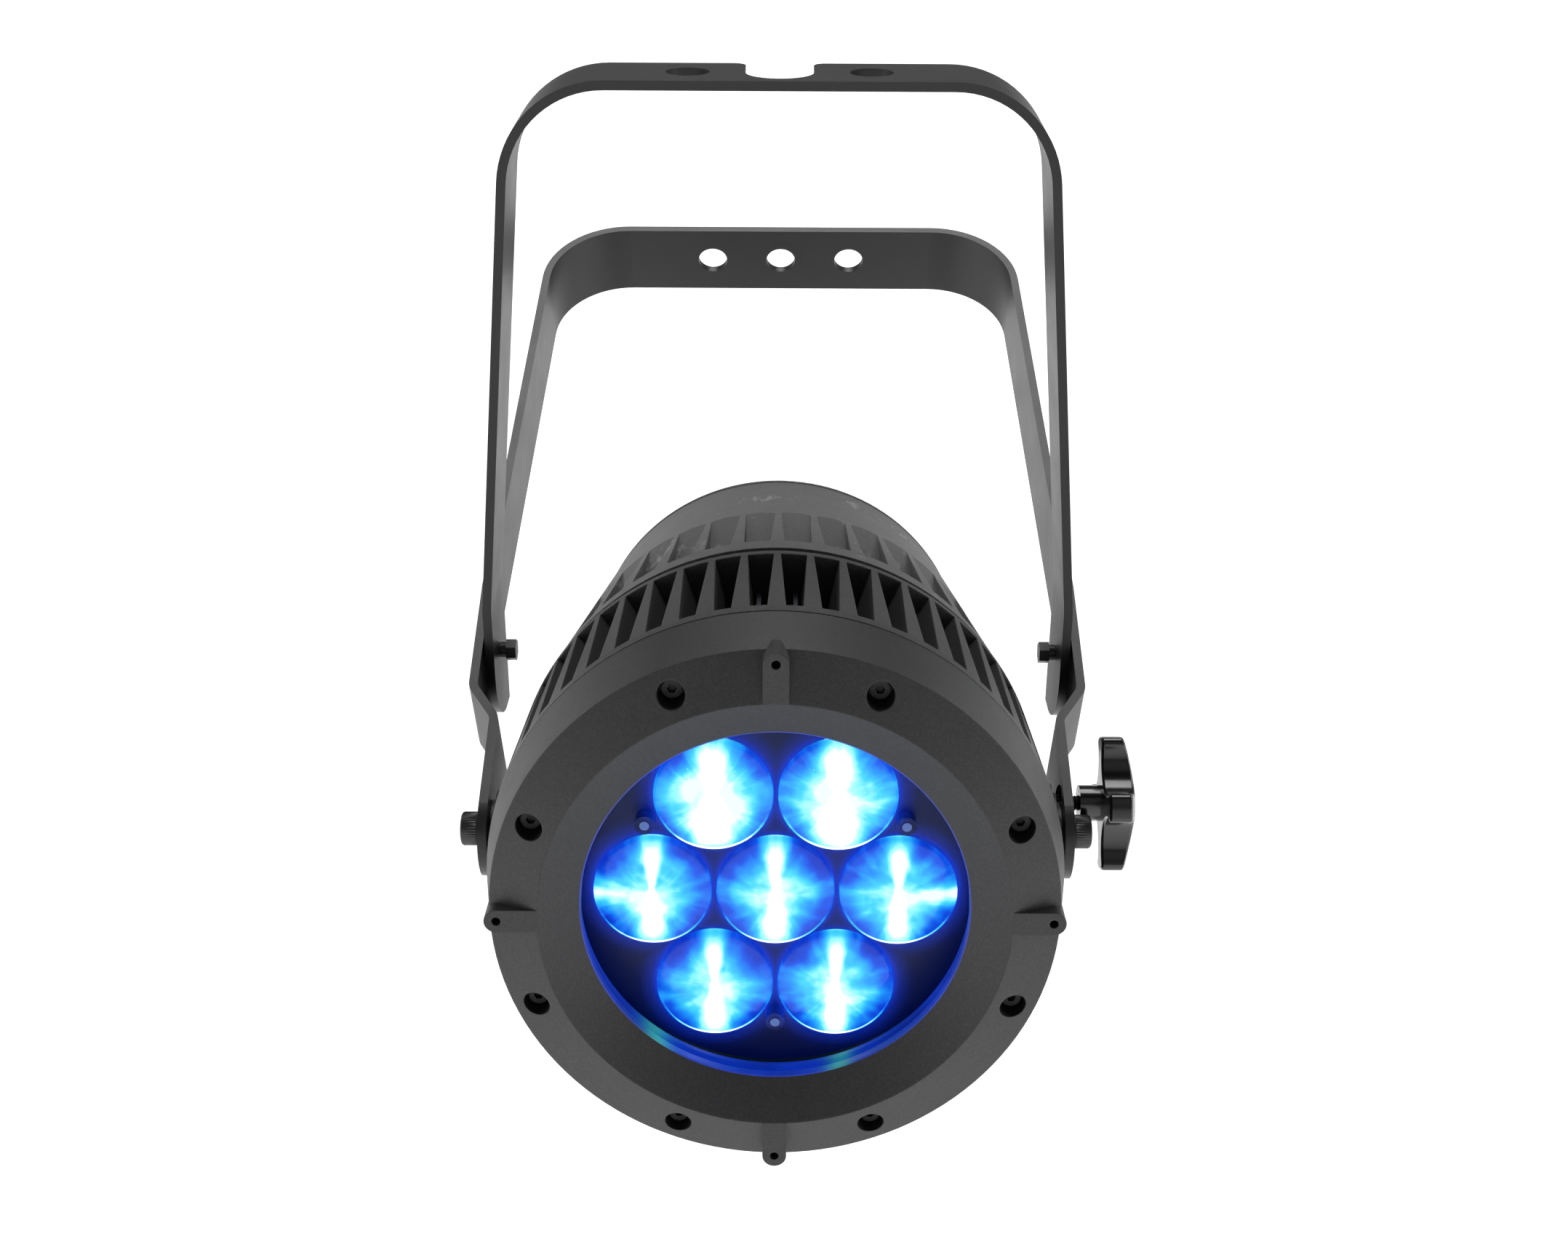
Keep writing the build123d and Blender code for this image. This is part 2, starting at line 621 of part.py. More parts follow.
def menu_button(x, up):
    """Round cap with a flange behind the cover that keeps it in."""
    flange_back = button_front() + BUTTON_FLANGE_THICKNESS
    cap = rod(BUTTON_RADIUS, flange_back, panel_back + BUTTON_PROUD, x, up)
    cap = fillet(cap.edges().group_by(Axis.Z)[-1], 0.8)
    return cap + rod(BUTTON_RADIUS + BUTTON_FLANGE, button_front(), flange_back, x, up)


def panel_socket(place, flange, barrel, pins):
    """Round panel socket with contact pins, passing through the cover."""
    x, up = place
    front = cover_front - SOCKET_BEHIND
    back = cover_back + SOCKET_LENGTH
    shell = rod(barrel, front, back, x, up)
    shell += rod(flange, cover_back, cover_back + SOCKET_FLANGE_THICKNESS, x, up)
    floor = cover_back + SOCKET_FLANGE_THICKNESS
    shell -= rod(barrel - SOCKET_WALL, floor, back + MARGIN, x, up)
    for dx, dup in around(barrel * 0.4, pins, 90.0):
        shell += rod(1.1, floor, back - 3.0, x + dx, up + dup)
    return shell


def vent_plug():
    """Pressure vent: a low hexagon with a round cap."""
    base = Pos(VENT_X, 0, cover_back) * hexagon(2 * VENT_RADIUS, 3.0)
    return base + rod(VENT_RADIUS - 1.5, cover_back + 3.0, cover_back + 5.5, VENT_X)


def safety_eye():
    """Bent rod on two feet, for a safety cable."""
    top = cover_back + EYE_LEG
    path = Line((EYE_X, -EYE_BEND, cover_back), (EYE_X, -EYE_BEND, top))
    path += ThreePointArc(
        (EYE_X, -EYE_BEND, top), (EYE_X, 0, top + EYE_BEND), (EYE_X, EYE_BEND, top))
    path += Line((EYE_X, EYE_BEND, top), (EYE_X, EYE_BEND, cover_back))
    eye = sweep(Plane((EYE_X, -EYE_BEND, cover_back)) * Circle(EYE_ROD), path)
    for up in (-EYE_BEND, EYE_BEND):
        eye += rod(EYE_ROD + 1.5, cover_back, cover_back + 2.0, EYE_X, up)
    return eye


def with_standoff_holes(board, start, end):
    for x, up in corner_places(STANDOFF_X, STANDOFF_UP):
        board -= rod(STANDOFF_RADIUS, start - MARGIN, end + MARGIN, x, up)
    return board


def chassis_plate():
    end = CHASSIS_DEPTH + CHASSIS_THICKNESS
    return with_standoff_holes(block(CHASSIS_SIZE, CHASSIS_DEPTH, end), CHASSIS_DEPTH, end)


def driver_board():
    end = DRIVER_DEPTH + BOARD_THICKNESS
    return with_standoff_holes(block(CHASSIS_SIZE, DRIVER_DEPTH, end), DRIVER_DEPTH, end)


def power_supply():
    size = SUPPLY_SIZE
    body = block(size, CHASSIS_DEPTH - size[2], CHASSIS_DEPTH)
    return fillet(body.edges().filter_by(Axis.Z), 3.0)


# ---- tilt pivot and knob, still in the head's frame ----
def tilt_bolt(side):
    """Cap screw that the leg turns on."""
    start = leg_outer + BODY_GAP + TILT_WASHER_THICKNESS
    head = side_rod(TILT_HEAD_RADIUS, start, start + TILT_HEAD_HEIGHT, side=side)
    shank = side_rod(TILT_BOLT_RADIUS, housing_bore + MARGIN, start, side=side)
    socket = Pos(side * (start + TILT_HEAD_HEIGHT / 2), 0, PIVOT_DEPTH) * Rot(0, side * 90, 0) * hexagon(
        TILT_SOCKET_FLATS, TILT_HEAD_HEIGHT)
    return head + shank - socket


def pivot_washer(side, radius, start, thickness):
    disc = side_rod(radius, start, start + thickness, side=side)
    return disc - side_rod(TILT_BOLT_RADIUS, start - MARGIN, start + thickness + MARGIN, side=side)


def knob_rod(radius, start, end):
    return side_rod(radius, start, end, knob_depth(), knob_up())


def tilt_knob():
    """Cross-shaped knob: scalloped lobes on a round hub."""
    star = Circle(KNOB_LOBE_RADIUS)
    for x, y in around(KNOB_SCALLOP_CENTRE, KNOB_LOBES, 180.0 / KNOB_LOBES):
        star -= Pos(x, y) * Circle(KNOB_SCALLOP_RADIUS)
    star = fillet(star.vertices(), 2.5)
    bulge = KNOB_TIP_THICKNESS + 0.8 * (KNOB_LOBE_THICKNESS - KNOB_TIP_THICKNESS)
    dome = ThreePointArc(
        (0, KNOB_LOBE_THICKNESS), (KNOB_LOBE_RADIUS / 2, bulge),
        (KNOB_LOBE_RADIUS + 1, KNOB_TIP_THICKNESS))
    sides = Polyline(
        (KNOB_LOBE_RADIUS + 1, KNOB_TIP_THICKNESS), (KNOB_LOBE_RADIUS + 1, 0), (0, 0),
        (0, KNOB_LOBE_THICKNESS))
    lobes = extrude(star, amount=KNOB_LOBE_THICKNESS) & ring_of(Curve() + [dome, sides])
    lobes = fillet(lobes.edges().filter_by(Axis.Z, reverse=True), 1.2)
    turn = Rot(0, 90, 0)
    at = Pos(lobe_start, -knob_up(), knob_depth())
    knob = at * turn * Rot(0, 0, -HEAD_TILT) * lobes
    knob += knob_rod(KNOB_HUB_RADIUS, knob_start, lobe_start + 1.0)
    return knob - knob_rod(KNOB_STUD_RADIUS, knob_start - MARGIN, lobe_start)


def knob_stud():
    return knob_rod(KNOB_STUD_RADIUS, boss_face - KNOB_STUD_DEPTH + BODY_GAP, lobe_start)


def knob_washer():
    start = leg_outer + BODY_GAP
    washer = knob_rod(KNOB_WASHER_RADIUS, start, start + KNOB_WASHER_THICKNESS)
    return washer - knob_rod(KNOB_STUD_RADIUS, start - MARGIN, start + KNOB_WASHER_THICKNESS + MARGIN)


# ---- yokes, each in its own frame: Z along the legs, Y across the strap, away from the front ----
def strap(points, bends):
    """Flat bar bent to a path that lies in the XZ plane."""
    path = FilletPolyline(*points, radius=bends)
    start = Plane(origin=path @ 0, x_dir=(0, 1, 0), z_dir=path % 0)
    return sweep(start * Rectangle(STRAP_WIDTH, STRAP_THICKNESS), path)


def both_legs(points):
    """Path up the left leg, over the bar and down the right leg, from one leg's (x, z) points."""
    left = [(-x, 0, z) for x, z in points]
    right = [(x, 0, z) for x, z in reversed(points)]
    return left + right


def cross_pin(radius, height, reach):
    """Cutter or pin along X through both legs."""
    return Pos(-reach, 0, height) * Rot(0, 90, 0) * Cylinder(radius, 2 * reach, align=LOW)


def bar_hole(radius, x, top):
    return Pos(x, 0, top - 2 * MARGIN) * Cylinder(radius, 4 * MARGIN, align=LOW)


def main_yoke():
    """Strap with stepped legs, three clamp holes in the bar and an arc slot for the knob."""
    low = leg_inner + STRAP_THICKNESS / 2
    high = upper_inner + STRAP_THICKNESS / 2
    top = high - (bar_middle - YOKE_STRAIGHT) * tan(radians(YOKE_TAPER))
    leg = [
        (low, -YOKE_END), (low, YOKE_STEP_LOW), (high, YOKE_STEP_HIGH), (high, YOKE_STRAIGHT),
        (top, bar_middle)]
    one_side = [STEP_BEND, STEP_BEND, SLIGHT_BEND, CORNER_BEND]
    yoke = strap(both_legs(leg), one_side + one_side[::-1])
    yoke = fillet(yoke.edges().filter_by(Axis.X).group_by(Axis.Z)[0], STRAP_WIDTH / 2 - 0.5)
    yoke -= cross_pin(TILT_BOLT_RADIUS + RUNNING, 0, leg_outer + MARGIN)
    yoke -= cross_pin(STAND_BOLT_RADIUS, STAND_PIVOT, upper_inner + 2 * MARGIN)
    for i in (-1, 0, 1):
        yoke -= bar_hole(CLAMP_HOLE_RADIUS, i * CLAMP_HOLE_PITCH, YOKE_HEIGHT)
    arc = CenterArc((0, 0), KNOB_OFFSET, 90 - SLOT_HALF_ANGLE, 2 * SLOT_HALF_ANGLE)
    slot = SlotArc(arc, 2 * (KNOB_STUD_RADIUS + LOOSE))
    slot_cutter = extrude(Plane.YZ * slot, amount=STRAP_THICKNESS + 2 * MARGIN)
    return yoke - Pos(leg_inner - MARGIN, 0, 0) * slot_cutter


def stand_bolt(side):
    """Pin fixed in the main yoke's leg, for the second yoke to turn on."""
    inner = stand_inner - STAND_SPACER_LENGTH - STAND_NUT_LENGTH
    pin = Pos(side * inner, 0, STAND_PIVOT) * Rot(0, side * 90, 0) * Cylinder(
        STAND_BOLT_RADIUS, upper_inner + STRAP_THICKNESS - inner, align=LOW)
    return pin


def stand_nut(side):
    """Hexagon nut on a round spacer, inside the stand's leg."""
    outer = stand_inner - BODY_GAP
    inner = outer - STAND_SPACER_LENGTH
    turn = Rot(0, side * 90, 0)
    spacer = Pos(side * inner, 0, STAND_PIVOT) * turn * Cylinder(
        STAND_SPACER_RADIUS, STAND_SPACER_LENGTH, align=LOW)
    start = inner - STAND_NUT_LENGTH + BODY_GAP
    nut = Pos(side * start, 0, STAND_PIVOT) * turn * hexagon(STAND_NUT_FLATS, inner - start)
    return nut + spacer - cross_pin(STAND_BOLT_RADIUS, STAND_PIVOT, leg_outer + 2 * MARGIN)


def second_yoke():
    """Lower strap that folds out as a stand, with a notch that clears the clamp bolt."""
    low = stand_inner + STRAP_THICKNESS / 2
    middle = STAND_HEIGHT - STRAP_THICKNESS / 2
    top = low - (middle - STAND_STRAIGHT) * tan(radians(STAND_TAPER))
    leg = [(low, -STAND_END), (low, STAND_STRAIGHT), (top, middle)]
    yoke = strap(both_legs(leg), [SLIGHT_BEND, CORNER_BEND, CORNER_BEND, SLIGHT_BEND])
    ends = yoke.edges().filter_by(Axis.X).group_by(Axis.Z)[0]
    yoke = fillet(ends.group_by(Axis.Y)[0], STAND_END_ROUND)
    yoke -= cross_pin(STAND_BOLT_RADIUS + RUNNING, 0, stand_outer + MARGIN)
    for side in (-1, 1):
        yoke -= bar_hole(STAND_HOLE_RADIUS, side * CLAMP_HOLE_PITCH, STAND_HEIGHT)
    yoke -= bar_hole(NOTCH_RADIUS, 0, STAND_HEIGHT)
    yoke -= Pos(0, STRAP_WIDTH / 2, STAND_HEIGHT) * Box(2 * NOTCH_RADIUS, STRAP_WIDTH, 4 * MARGIN)
    mouth = [
        edge for edge in yoke.edges().filter_by(Axis.Z)
        if edge.center().Y > STRAP_WIDTH / 2 - 1 and abs(edge.center().X) < NOTCH_RADIUS + 1]
    return fillet(mouth, NOTCH_MOUTH_ROUND)


# ---- write every node ----
os.makedirs("parts", exist_ok=True)
write("front_bezel", front_bezel(), HEAD_AT)
write("bezel_screws", bezel_screws(), HEAD_AT)
write("glass_gasket", flat_ring(opening_radius + 1.0, glass_radius, LIP_BACK, glass_front), HEAD_AT)
write("front_glass", rod(glass_radius, glass_front, glass_back), HEAD_AT)
write("glass_retainer", flat_ring(
    opening_radius + 1.0, retainer_radius, glass_back, glass_back + RETAINER_THICKNESS), HEAD_AT)
seal = flat_ring(retainer_radius + 1.0, bezel_edge, BEZEL_BACK, flange_front)
for seal_x, seal_up in around(screw_circle, BEZEL_SCREWS, 180.0 / BEZEL_SCREWS):
    seal -= rod(SCREW_RADIUS, BEZEL_BACK - MARGIN, flange_front + MARGIN, seal_x, seal_up)
write("bezel_seal", seal, HEAD_AT)
write("fin_housing", fin_housing(), HEAD_AT)
write("optics_barrel", optics_barrel(), HEAD_AT)
write("led_board", led_board(), HEAD_AT)
write("led_emitters", [led_emitter(x, up) for x, up in lens_places()], HEAD_AT)
write("heat_sink", heat_sink(), HEAD_AT)
write("guide_rods", [guide_rod(x, up) for x, up in rod_places()], HEAD_AT)
write("zoom_motor", zoom_motor(), HEAD_AT)
write("lead_screw", rod(LEAD_RADIUS, lead_start, LEAD_END, 0, rod_circle), HEAD_AT)
write("lens_plate", lens_plate(), HEAD_AT)
write("zoom_nut", zoom_nut(), HEAD_AT)
for number, (lens_x, lens_up) in enumerate(lens_places(), 1):
    write(f"zoom_lens_{number}", zoom_lens(lens_x, lens_up), HEAD_AT)
write("rear_housing", rear_housing(), HEAD_AT)
write("rear_gasket", rear_gasket(), HEAD_AT)
write("rear_cover", rear_cover(), HEAD_AT)
cover_places = around(cover_screw_circle, COVER_SCREWS, 180.0 / COVER_SCREWS)
write("cover_screws", [cover_screw(x, up) for x, up in cover_places], HEAD_AT)
write("control_panel", control_panel(), HEAD_AT)
write("display", display(), HEAD_AT)
write("control_board", control_board(), HEAD_AT)
for number, (button_x, button_up) in enumerate(button_places(), 1):
    write(f"menu_button_{number}", menu_button(button_x, button_up), HEAD_AT)
for name, place in zip(("power_in", "power_out"), mirrored(POWER_PLACE)):
    write(name, panel_socket(place, POWER_FLANGE, POWER_BARREL, 3), HEAD_AT)
for name, place in zip(("data_in", "data_out"), mirrored(DATA_PLACE)):
    write(name, panel_socket(place, DATA_FLANGE, DATA_BARREL, 5), HEAD_AT)
write("vent_plug", vent_plug(), HEAD_AT)
write("safety_eye", safety_eye(), HEAD_AT)
standoffs = [
    rod(STANDOFF_RADIUS, CHASSIS_DEPTH, cover_front, x, up)
    for x, up in corner_places(STANDOFF_X, STANDOFF_UP)]
write("standoffs", standoffs, HEAD_AT)
write("chassis_plate", chassis_plate(), HEAD_AT)
write("driver_board", driver_board(), HEAD_AT)
write("power_supply", power_supply(), HEAD_AT)
write("tilt_bolts", [tilt_bolt(side) for side in (-1, 1)], HEAD_AT)
washer_start = leg_outer + BODY_GAP
write("tilt_washers", [
    pivot_washer(side, TILT_WASHER_RADIUS, washer_start, TILT_WASHER_THICKNESS) for side in (-1, 1)], HEAD_AT)
write("friction_discs", [
    pivot_washer(side, DISC_RADIUS, boss_face, DISC_THICKNESS) for side in (-1, 1)], HEAD_AT)
write("tilt_knob", tilt_knob(), HEAD_AT)
write("knob_stud", knob_stud(), HEAD_AT)
write("knob_washer", knob_washer(), HEAD_AT)
write("main_yoke", main_yoke(), YOKE_AT)
write("stand_bolts", [stand_bolt(side) for side in (-1, 1)], YOKE_AT)
write("stand_nuts", [stand_nut(side) for side in (-1, 1)], YOKE_AT)
write("second_yoke", second_yoke(), STAND_AT)
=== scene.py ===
import json
import math

import bmesh
import bpy
from mathutils import Matrix, Vector


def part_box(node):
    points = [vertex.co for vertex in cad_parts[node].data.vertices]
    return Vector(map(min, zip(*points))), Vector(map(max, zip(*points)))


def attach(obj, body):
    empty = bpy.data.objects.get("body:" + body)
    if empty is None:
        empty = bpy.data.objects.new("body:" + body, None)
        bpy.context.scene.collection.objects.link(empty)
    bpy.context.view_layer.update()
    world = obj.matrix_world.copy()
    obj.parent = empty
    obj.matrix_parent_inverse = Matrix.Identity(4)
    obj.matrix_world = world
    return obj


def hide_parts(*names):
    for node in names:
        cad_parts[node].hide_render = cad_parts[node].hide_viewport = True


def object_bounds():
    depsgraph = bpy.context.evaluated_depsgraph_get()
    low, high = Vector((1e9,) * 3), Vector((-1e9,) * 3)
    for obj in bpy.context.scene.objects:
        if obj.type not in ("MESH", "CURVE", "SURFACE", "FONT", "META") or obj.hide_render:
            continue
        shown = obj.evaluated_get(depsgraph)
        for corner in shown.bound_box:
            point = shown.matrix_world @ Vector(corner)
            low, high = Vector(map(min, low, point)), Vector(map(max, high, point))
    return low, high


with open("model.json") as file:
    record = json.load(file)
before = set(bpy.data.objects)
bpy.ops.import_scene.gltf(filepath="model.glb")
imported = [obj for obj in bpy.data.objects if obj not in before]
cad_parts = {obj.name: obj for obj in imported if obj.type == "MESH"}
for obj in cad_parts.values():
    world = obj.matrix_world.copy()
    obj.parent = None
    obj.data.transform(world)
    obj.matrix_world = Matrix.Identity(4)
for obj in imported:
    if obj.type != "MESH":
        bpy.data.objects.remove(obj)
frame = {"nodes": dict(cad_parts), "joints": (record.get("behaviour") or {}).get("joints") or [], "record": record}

CAD_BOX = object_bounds()
MM = 0.001

# ---- places that the frame gives ----
JOINTS = {joint["name"]: joint for joint in frame["joints"]}
MOUNTS = {mount["name"]: mount for mount in frame["record"]["mounts"]}
PIVOT = Vector(JOINTS["tilt"]["pos_m"])
REARWARD = Vector(JOINTS["zoom_slide"]["axis"]).normalized()
ACROSS = Vector((1.0, 0.0, 0.0))
HEAD_UP = ACROSS.cross(REARWARD).normalized()
FACE = Vector(MOUNTS["accessory_holes"]["pos_m"])
CLAMP_AXIS = Vector(MOUNTS["clamp_hole"]["axis"])
HEAD_BASIS = Matrix((ACROSS, HEAD_UP, -REARWARD)).transposed()

# ---- camera, measured from the tilt pivot ----
CAMERA_FROM_PIVOT = Vector((0.0026, -0.7716, 0.0777))
CAMERA_ROLL = math.radians(-0.3)
FOCAL_MM = 46.15
SENSOR_MM = 36.0

# ---- blue glow in the bezel opening ----
OPENING_RADIUS = 0.0692         # bore of the bezel
SEAT_STEP = 0.0150              # how far the glass and its retainer reach outside the bore
LIP_DEPTH = 0.0089              # the glow starts here, just in front of the dish's inner edge
SEAT_DEPTH = 0.0200             # and ends here, behind the retainer

# ---- lens meshes ----
LENS_COUNT = 7
LENS_SEGMENTS = 96
LENS_RINGS = 20

# ---- sizes of the detailed pieces ----
LENS_SAG = 2.8 * MM
LENS_SEAT = 5.3 * MM            # front of the dome to the face that rests on the plate
LENS_NECK_LENGTH = 3 * MM
LENS_NECK_SCALE = 0.951         # neck radius over lens radius
LENS_DOME_SCALE = 0.985         # the dome ends here and the edge is rolled
LENS_EDGE_DROP = 0.35 * MM
LENS_TAIL_RADIUS = 13.0 * MM
BOLT_HEAD_HEIGHT = 6.5 * MM
BOLT_SHANK_RADIUS = 4.0 * MM
BOLT_SHANK_LENGTH = 18.0 * MM
BOLT_SOCKET = 3.0 * MM
KNURL_RIDGES = 40
KNURL_DEPTH = 0.965
THREAD_PITCH = 1.0 * MM
THREAD_DEPTH = 0.45 * MM
ROUND_SEGMENTS = 48
EULER = 2.718


# ---- node helpers ----
class Nodes:
    """Short ways to add shader nodes to one tree."""

    def __init__(self, tree):
        self.tree = tree
        tree.nodes.clear()

    def add(self, kind, **settings):
        node = self.tree.nodes.new(kind)
        for key, value in settings.items():
            setattr(node, key, value)
        return node

    def link(self, source, target):
        self.tree.links.new(source, target)

    def put(self, socket, value):
        if isinstance(value, bpy.types.NodeSocket):
            self.link(value, socket)
        else:
            socket.default_value = value

    def math(self, operation, first, second=0.0, third=0.0, clamp=False):
        node = self.add("ShaderNodeMath", operation=operation, use_clamp=clamp)
        for socket, value in zip(node.inputs, (first, second, third)):
            self.put(socket, value)
        return node.outputs[0]

    def vector(self, operation, first, second=(0, 0, 0)):
        node = self.add("ShaderNodeVectorMath", operation=operation)
        self.put(node.inputs[0], first)
        self.put(node.inputs[1], second)
        return node.outputs["Value"] if operation in ("LENGTH", "DOT_PRODUCT") else node.outputs["Vector"]

    def split(self, vector):
        node = self.add("ShaderNodeSeparateXYZ")
        self.link(vector, node.inputs[0])
        return node.outputs[0], node.outputs[1], node.outputs[2]

    def place(self):
        return self.add("ShaderNodeTexCoord").outputs["Object"]

    def noise(self, scale, detail=2.0, roughness=0.5, vector=None):
        node = self.add("ShaderNodeTexNoise")
        self.link(vector or self.place(), node.inputs["Vector"])
        node.inputs["Scale"].default_value = scale
        node.inputs["Detail"].default_value = detail
        node.inputs["Roughness"].default_value = roughness
        return node.outputs["Fac"]

    def ramp(self, factor, *stops):
        """Colour ramp; a stop is (position, colour or grey)."""
        node = self.add("ShaderNodeValToRGB")
        elements = node.color_ramp.elements
        while len(elements) < len(stops):
            elements.new(0.5)
        for element, (position, colour) in zip(elements, stops):
            element.position = position
            grey = isinstance(colour, (int, float))
            element.color = (colour, colour, colour, 1.0) if grey else (*colour, 1.0)
        self.put(node.inputs[0], factor)
        return node.outputs[0]

    def mix(self, factor, first, second):
        node = self.add("ShaderNodeMix", data_type="RGBA")
        self.put(node.inputs[0], factor)
        for socket, value in ((node.inputs[6], first), (node.inputs[7], second)):
            self.put(socket, value if isinstance(value, bpy.types.NodeSocket) else (*value, 1.0))
        return node.outputs[2]

    def bump(self, height, strength, distance, normal=None):
        node = self.add("ShaderNodeBump")
        self.link(height, node.inputs["Height"])
        node.inputs["Strength"].default_value = strength
        node.inputs["Distance"].default_value = distance
        if normal is not None:
            self.link(normal, node.inputs["Normal"])
        return node.outputs[0]

    def principled(self, **values):
        shader = self.add("ShaderNodeBsdfPrincipled")
        output = self.add("ShaderNodeOutputMaterial")
        self.link(shader.outputs[0], output.inputs[0])
        for name, value in values.items():
            socket = shader.inputs[name.replace("_", " ")]
            if not isinstance(value, (bpy.types.NodeSocket, float, int)):
                value = (*value, 1.0) if len(value) == 3 else value
            self.put(socket, value)
        return shader


def new_material(name):
    material = bpy.data.materials.new(name)
    material.use_nodes = True
    return material, Nodes(material.node_tree)


# ---- materials ----
def bore_glow(n):
    """Blue light on the wall of the bezel opening, with two cyan glints low down: colour and strength."""
    rel = n.vector("SUBTRACT", n.place(), tuple(FACE))
    depth = n.vector("DOT_PRODUCT", rel, tuple(REARWARD))
    away = n.math("SUBTRACT", n.math("POWER", n.vector("LENGTH", rel), 2.0), n.math("POWER", depth, 2.0))
    inside = n.math("LESS_THAN", n.math("SQRT", away), OPENING_RADIUS + SEAT_STEP)
    inside = n.math("MULTIPLY", inside, n.math("GREATER_THAN", depth, LIP_DEPTH))
    inside = n.math("MULTIPLY", inside, n.math("LESS_THAN", depth, SEAT_DEPTH))
    side = n.math("MULTIPLY", n.vector("DOT_PRODUCT", rel, tuple(ACROSS)), 1000.0)
    height = n.math("MULTIPLY", n.vector("DOT_PRODUCT", rel, tuple(HEAD_UP)), 1000.0)
    glints = 0.0
    for angle, length in ((-129.0, 6.0), (-70.0, 4.5)):
        turn = math.radians(angle)
        at = (1000 * OPENING_RADIUS * math.cos(turn), 1000 * OPENING_RADIUS * math.sin(turn))
        gap = n.math("SQRT", n.math("ADD", n.math("POWER", n.math("SUBTRACT", side, at[0]), 2.0),
                                    n.math("POWER", n.math("SUBTRACT", height, at[1]), 2.0)))
        glints = n.math("ADD", bell(n, gap, length), glints, clamp=True)
    patchy = n.math("MULTIPLY_ADD", n.noise(45.0, 2.0, 0.5), 0.7, 0.10)
    colour = n.mix(glints, (0.006, 0.055, 0.75), (0.05, 0.55, 0.60))
    return colour, n.math("MULTIPLY", inside, patchy)


def powder_coat(name, dark, light, roughness, grain_mm, grain_depth_mm, scuffs=0.0, lit_bore=False):
    """Cast metal under powder coat: fine orange-peel grain and faint mottling."""
    material, n = new_material(name)
    fine = n.noise(1000.0 / grain_mm, 3.0, 0.6)
    coarse = n.noise(70.0, 3.0, 0.6)
    speck = n.ramp(n.noise(1000.0 / (grain_mm * 1.7), 2.0, 0.7), (0.42, 0.0), (0.72, 1.0))
    colour = n.mix(coarse, dark, light)
    colour = n.mix(n.math("MULTIPLY", speck, 0.40), colour, tuple(min(1.0, 2.4 * c) for c in light))
    rough = n.math("MULTIPLY_ADD", coarse, 0.12, roughness - 0.06)
    if scuffs:
        streak = n.noise(260.0, 5.0, 0.75, n.vector("MULTIPLY", n.place(), (1.0, 0.25, 0.6)))
        mask = n.ramp(n.math("MULTIPLY", streak, n.noise(34.0, 2.0, 0.5)), (0.33, 0.0), (0.42, 1.0))
        colour = n.mix(n.math("MULTIPLY", mask, scuffs), colour, (0.3, 0.3, 0.31))
    extra = {}
    if lit_bore:
        extra["Emission_Color"], extra["Emission_Strength"] = bore_glow(n)
    soft_edge = n.add("ShaderNodeBevel", samples=4)
    soft_edge.inputs["Radius"].default_value = 0.6 * MM
    n.principled(Base_Color=colour, Roughness=rough, Specular_IOR_Level=0.40,
                 Normal=n.bump(fine, 0.55, grain_depth_mm * MM, soft_edge.outputs[0]), **extra)
    return material


def yoke_paint():
    """Satin black strap, with a polished witness ring round the clamp hole."""
    material, n = new_material("yoke_satin_black")
    place = n.place()
    along = n.vector("DOT_PRODUCT", place, tuple(CLAMP_AXIS))
    radial = n.math("SQRT", n.math("SUBTRACT", n.math("POWER", n.vector("LENGTH", place), 2.0),
                                   n.math("POWER", along, 2.0)))
    ring = n.ramp(n.math("MULTIPLY", radial, 40.0), (0.36, 0.0), (0.39, 1.0), (0.43, 1.0), (0.46, 0.0))
    fine = n.noise(2600.0, 3.0, 0.6)
    coarse = n.noise(45.0, 3.0, 0.6)
    colour = n.mix(coarse, (0.006, 0.006, 0.007), (0.011, 0.011, 0.012))
    colour = n.mix(n.math("MULTIPLY", ring, 0.6), colour, (0.006, 0.006, 0.007))
    rough = n.math("MULTIPLY_ADD", coarse, 0.12, 0.34)
    rough = n.math("SUBTRACT", rough, n.math("MULTIPLY", ring, 0.08))
    n.principled(Base_Color=colour, Roughness=rough, Specular_IOR_Level=0.34,
                 Normal=n.bump(fine, 0.35, 0.05 * MM))
    return material


def smooth_metal(name, colour, roughness, metallic=1.0, brushed=0.0):
    material, n = new_material(name)
    stretch = n.vector("MULTIPLY", n.place(), (1.0, 1.0, 0.06 if brushed else 1.0))
    streak = n.noise(900.0, 3.0, 0.6, stretch)
    shade = n.mix(streak, tuple(0.8 * c for c in colour), tuple(min(1.0, 1.15 * c) for c in colour))
    rough = n.math("MULTIPLY_ADD", streak, 0.15, roughness - 0.07)
    n.principled(Base_Color=shade, Roughness=rough, Metallic=metallic,
                 Normal=n.bump(streak, 0.15 + brushed, 0.02 * MM))
    return material


def plastic(name, colour, roughness, grain=0.0, coat=0.0):
    material, n = new_material(name)
    soft = n.noise(120.0, 3.0, 0.6)
    shade = n.mix(soft, tuple(0.85 * c for c in colour), tuple(min(1.0, 1.2 * c) for c in colour))
    rough = n.math("MULTIPLY_ADD", n.noise(400.0, 4.0, 0.6), 0.10, roughness - 0.05)
    normal = n.bump(n.noise(2200.0 if grain else 90.0, 2.0, 0.5), 0.1 + grain, 0.04 * MM)
    n.principled(Base_Color=shade, Roughness=rough, Normal=normal, Coat_Weight=coat, Coat_Roughness=0.06)
    return material


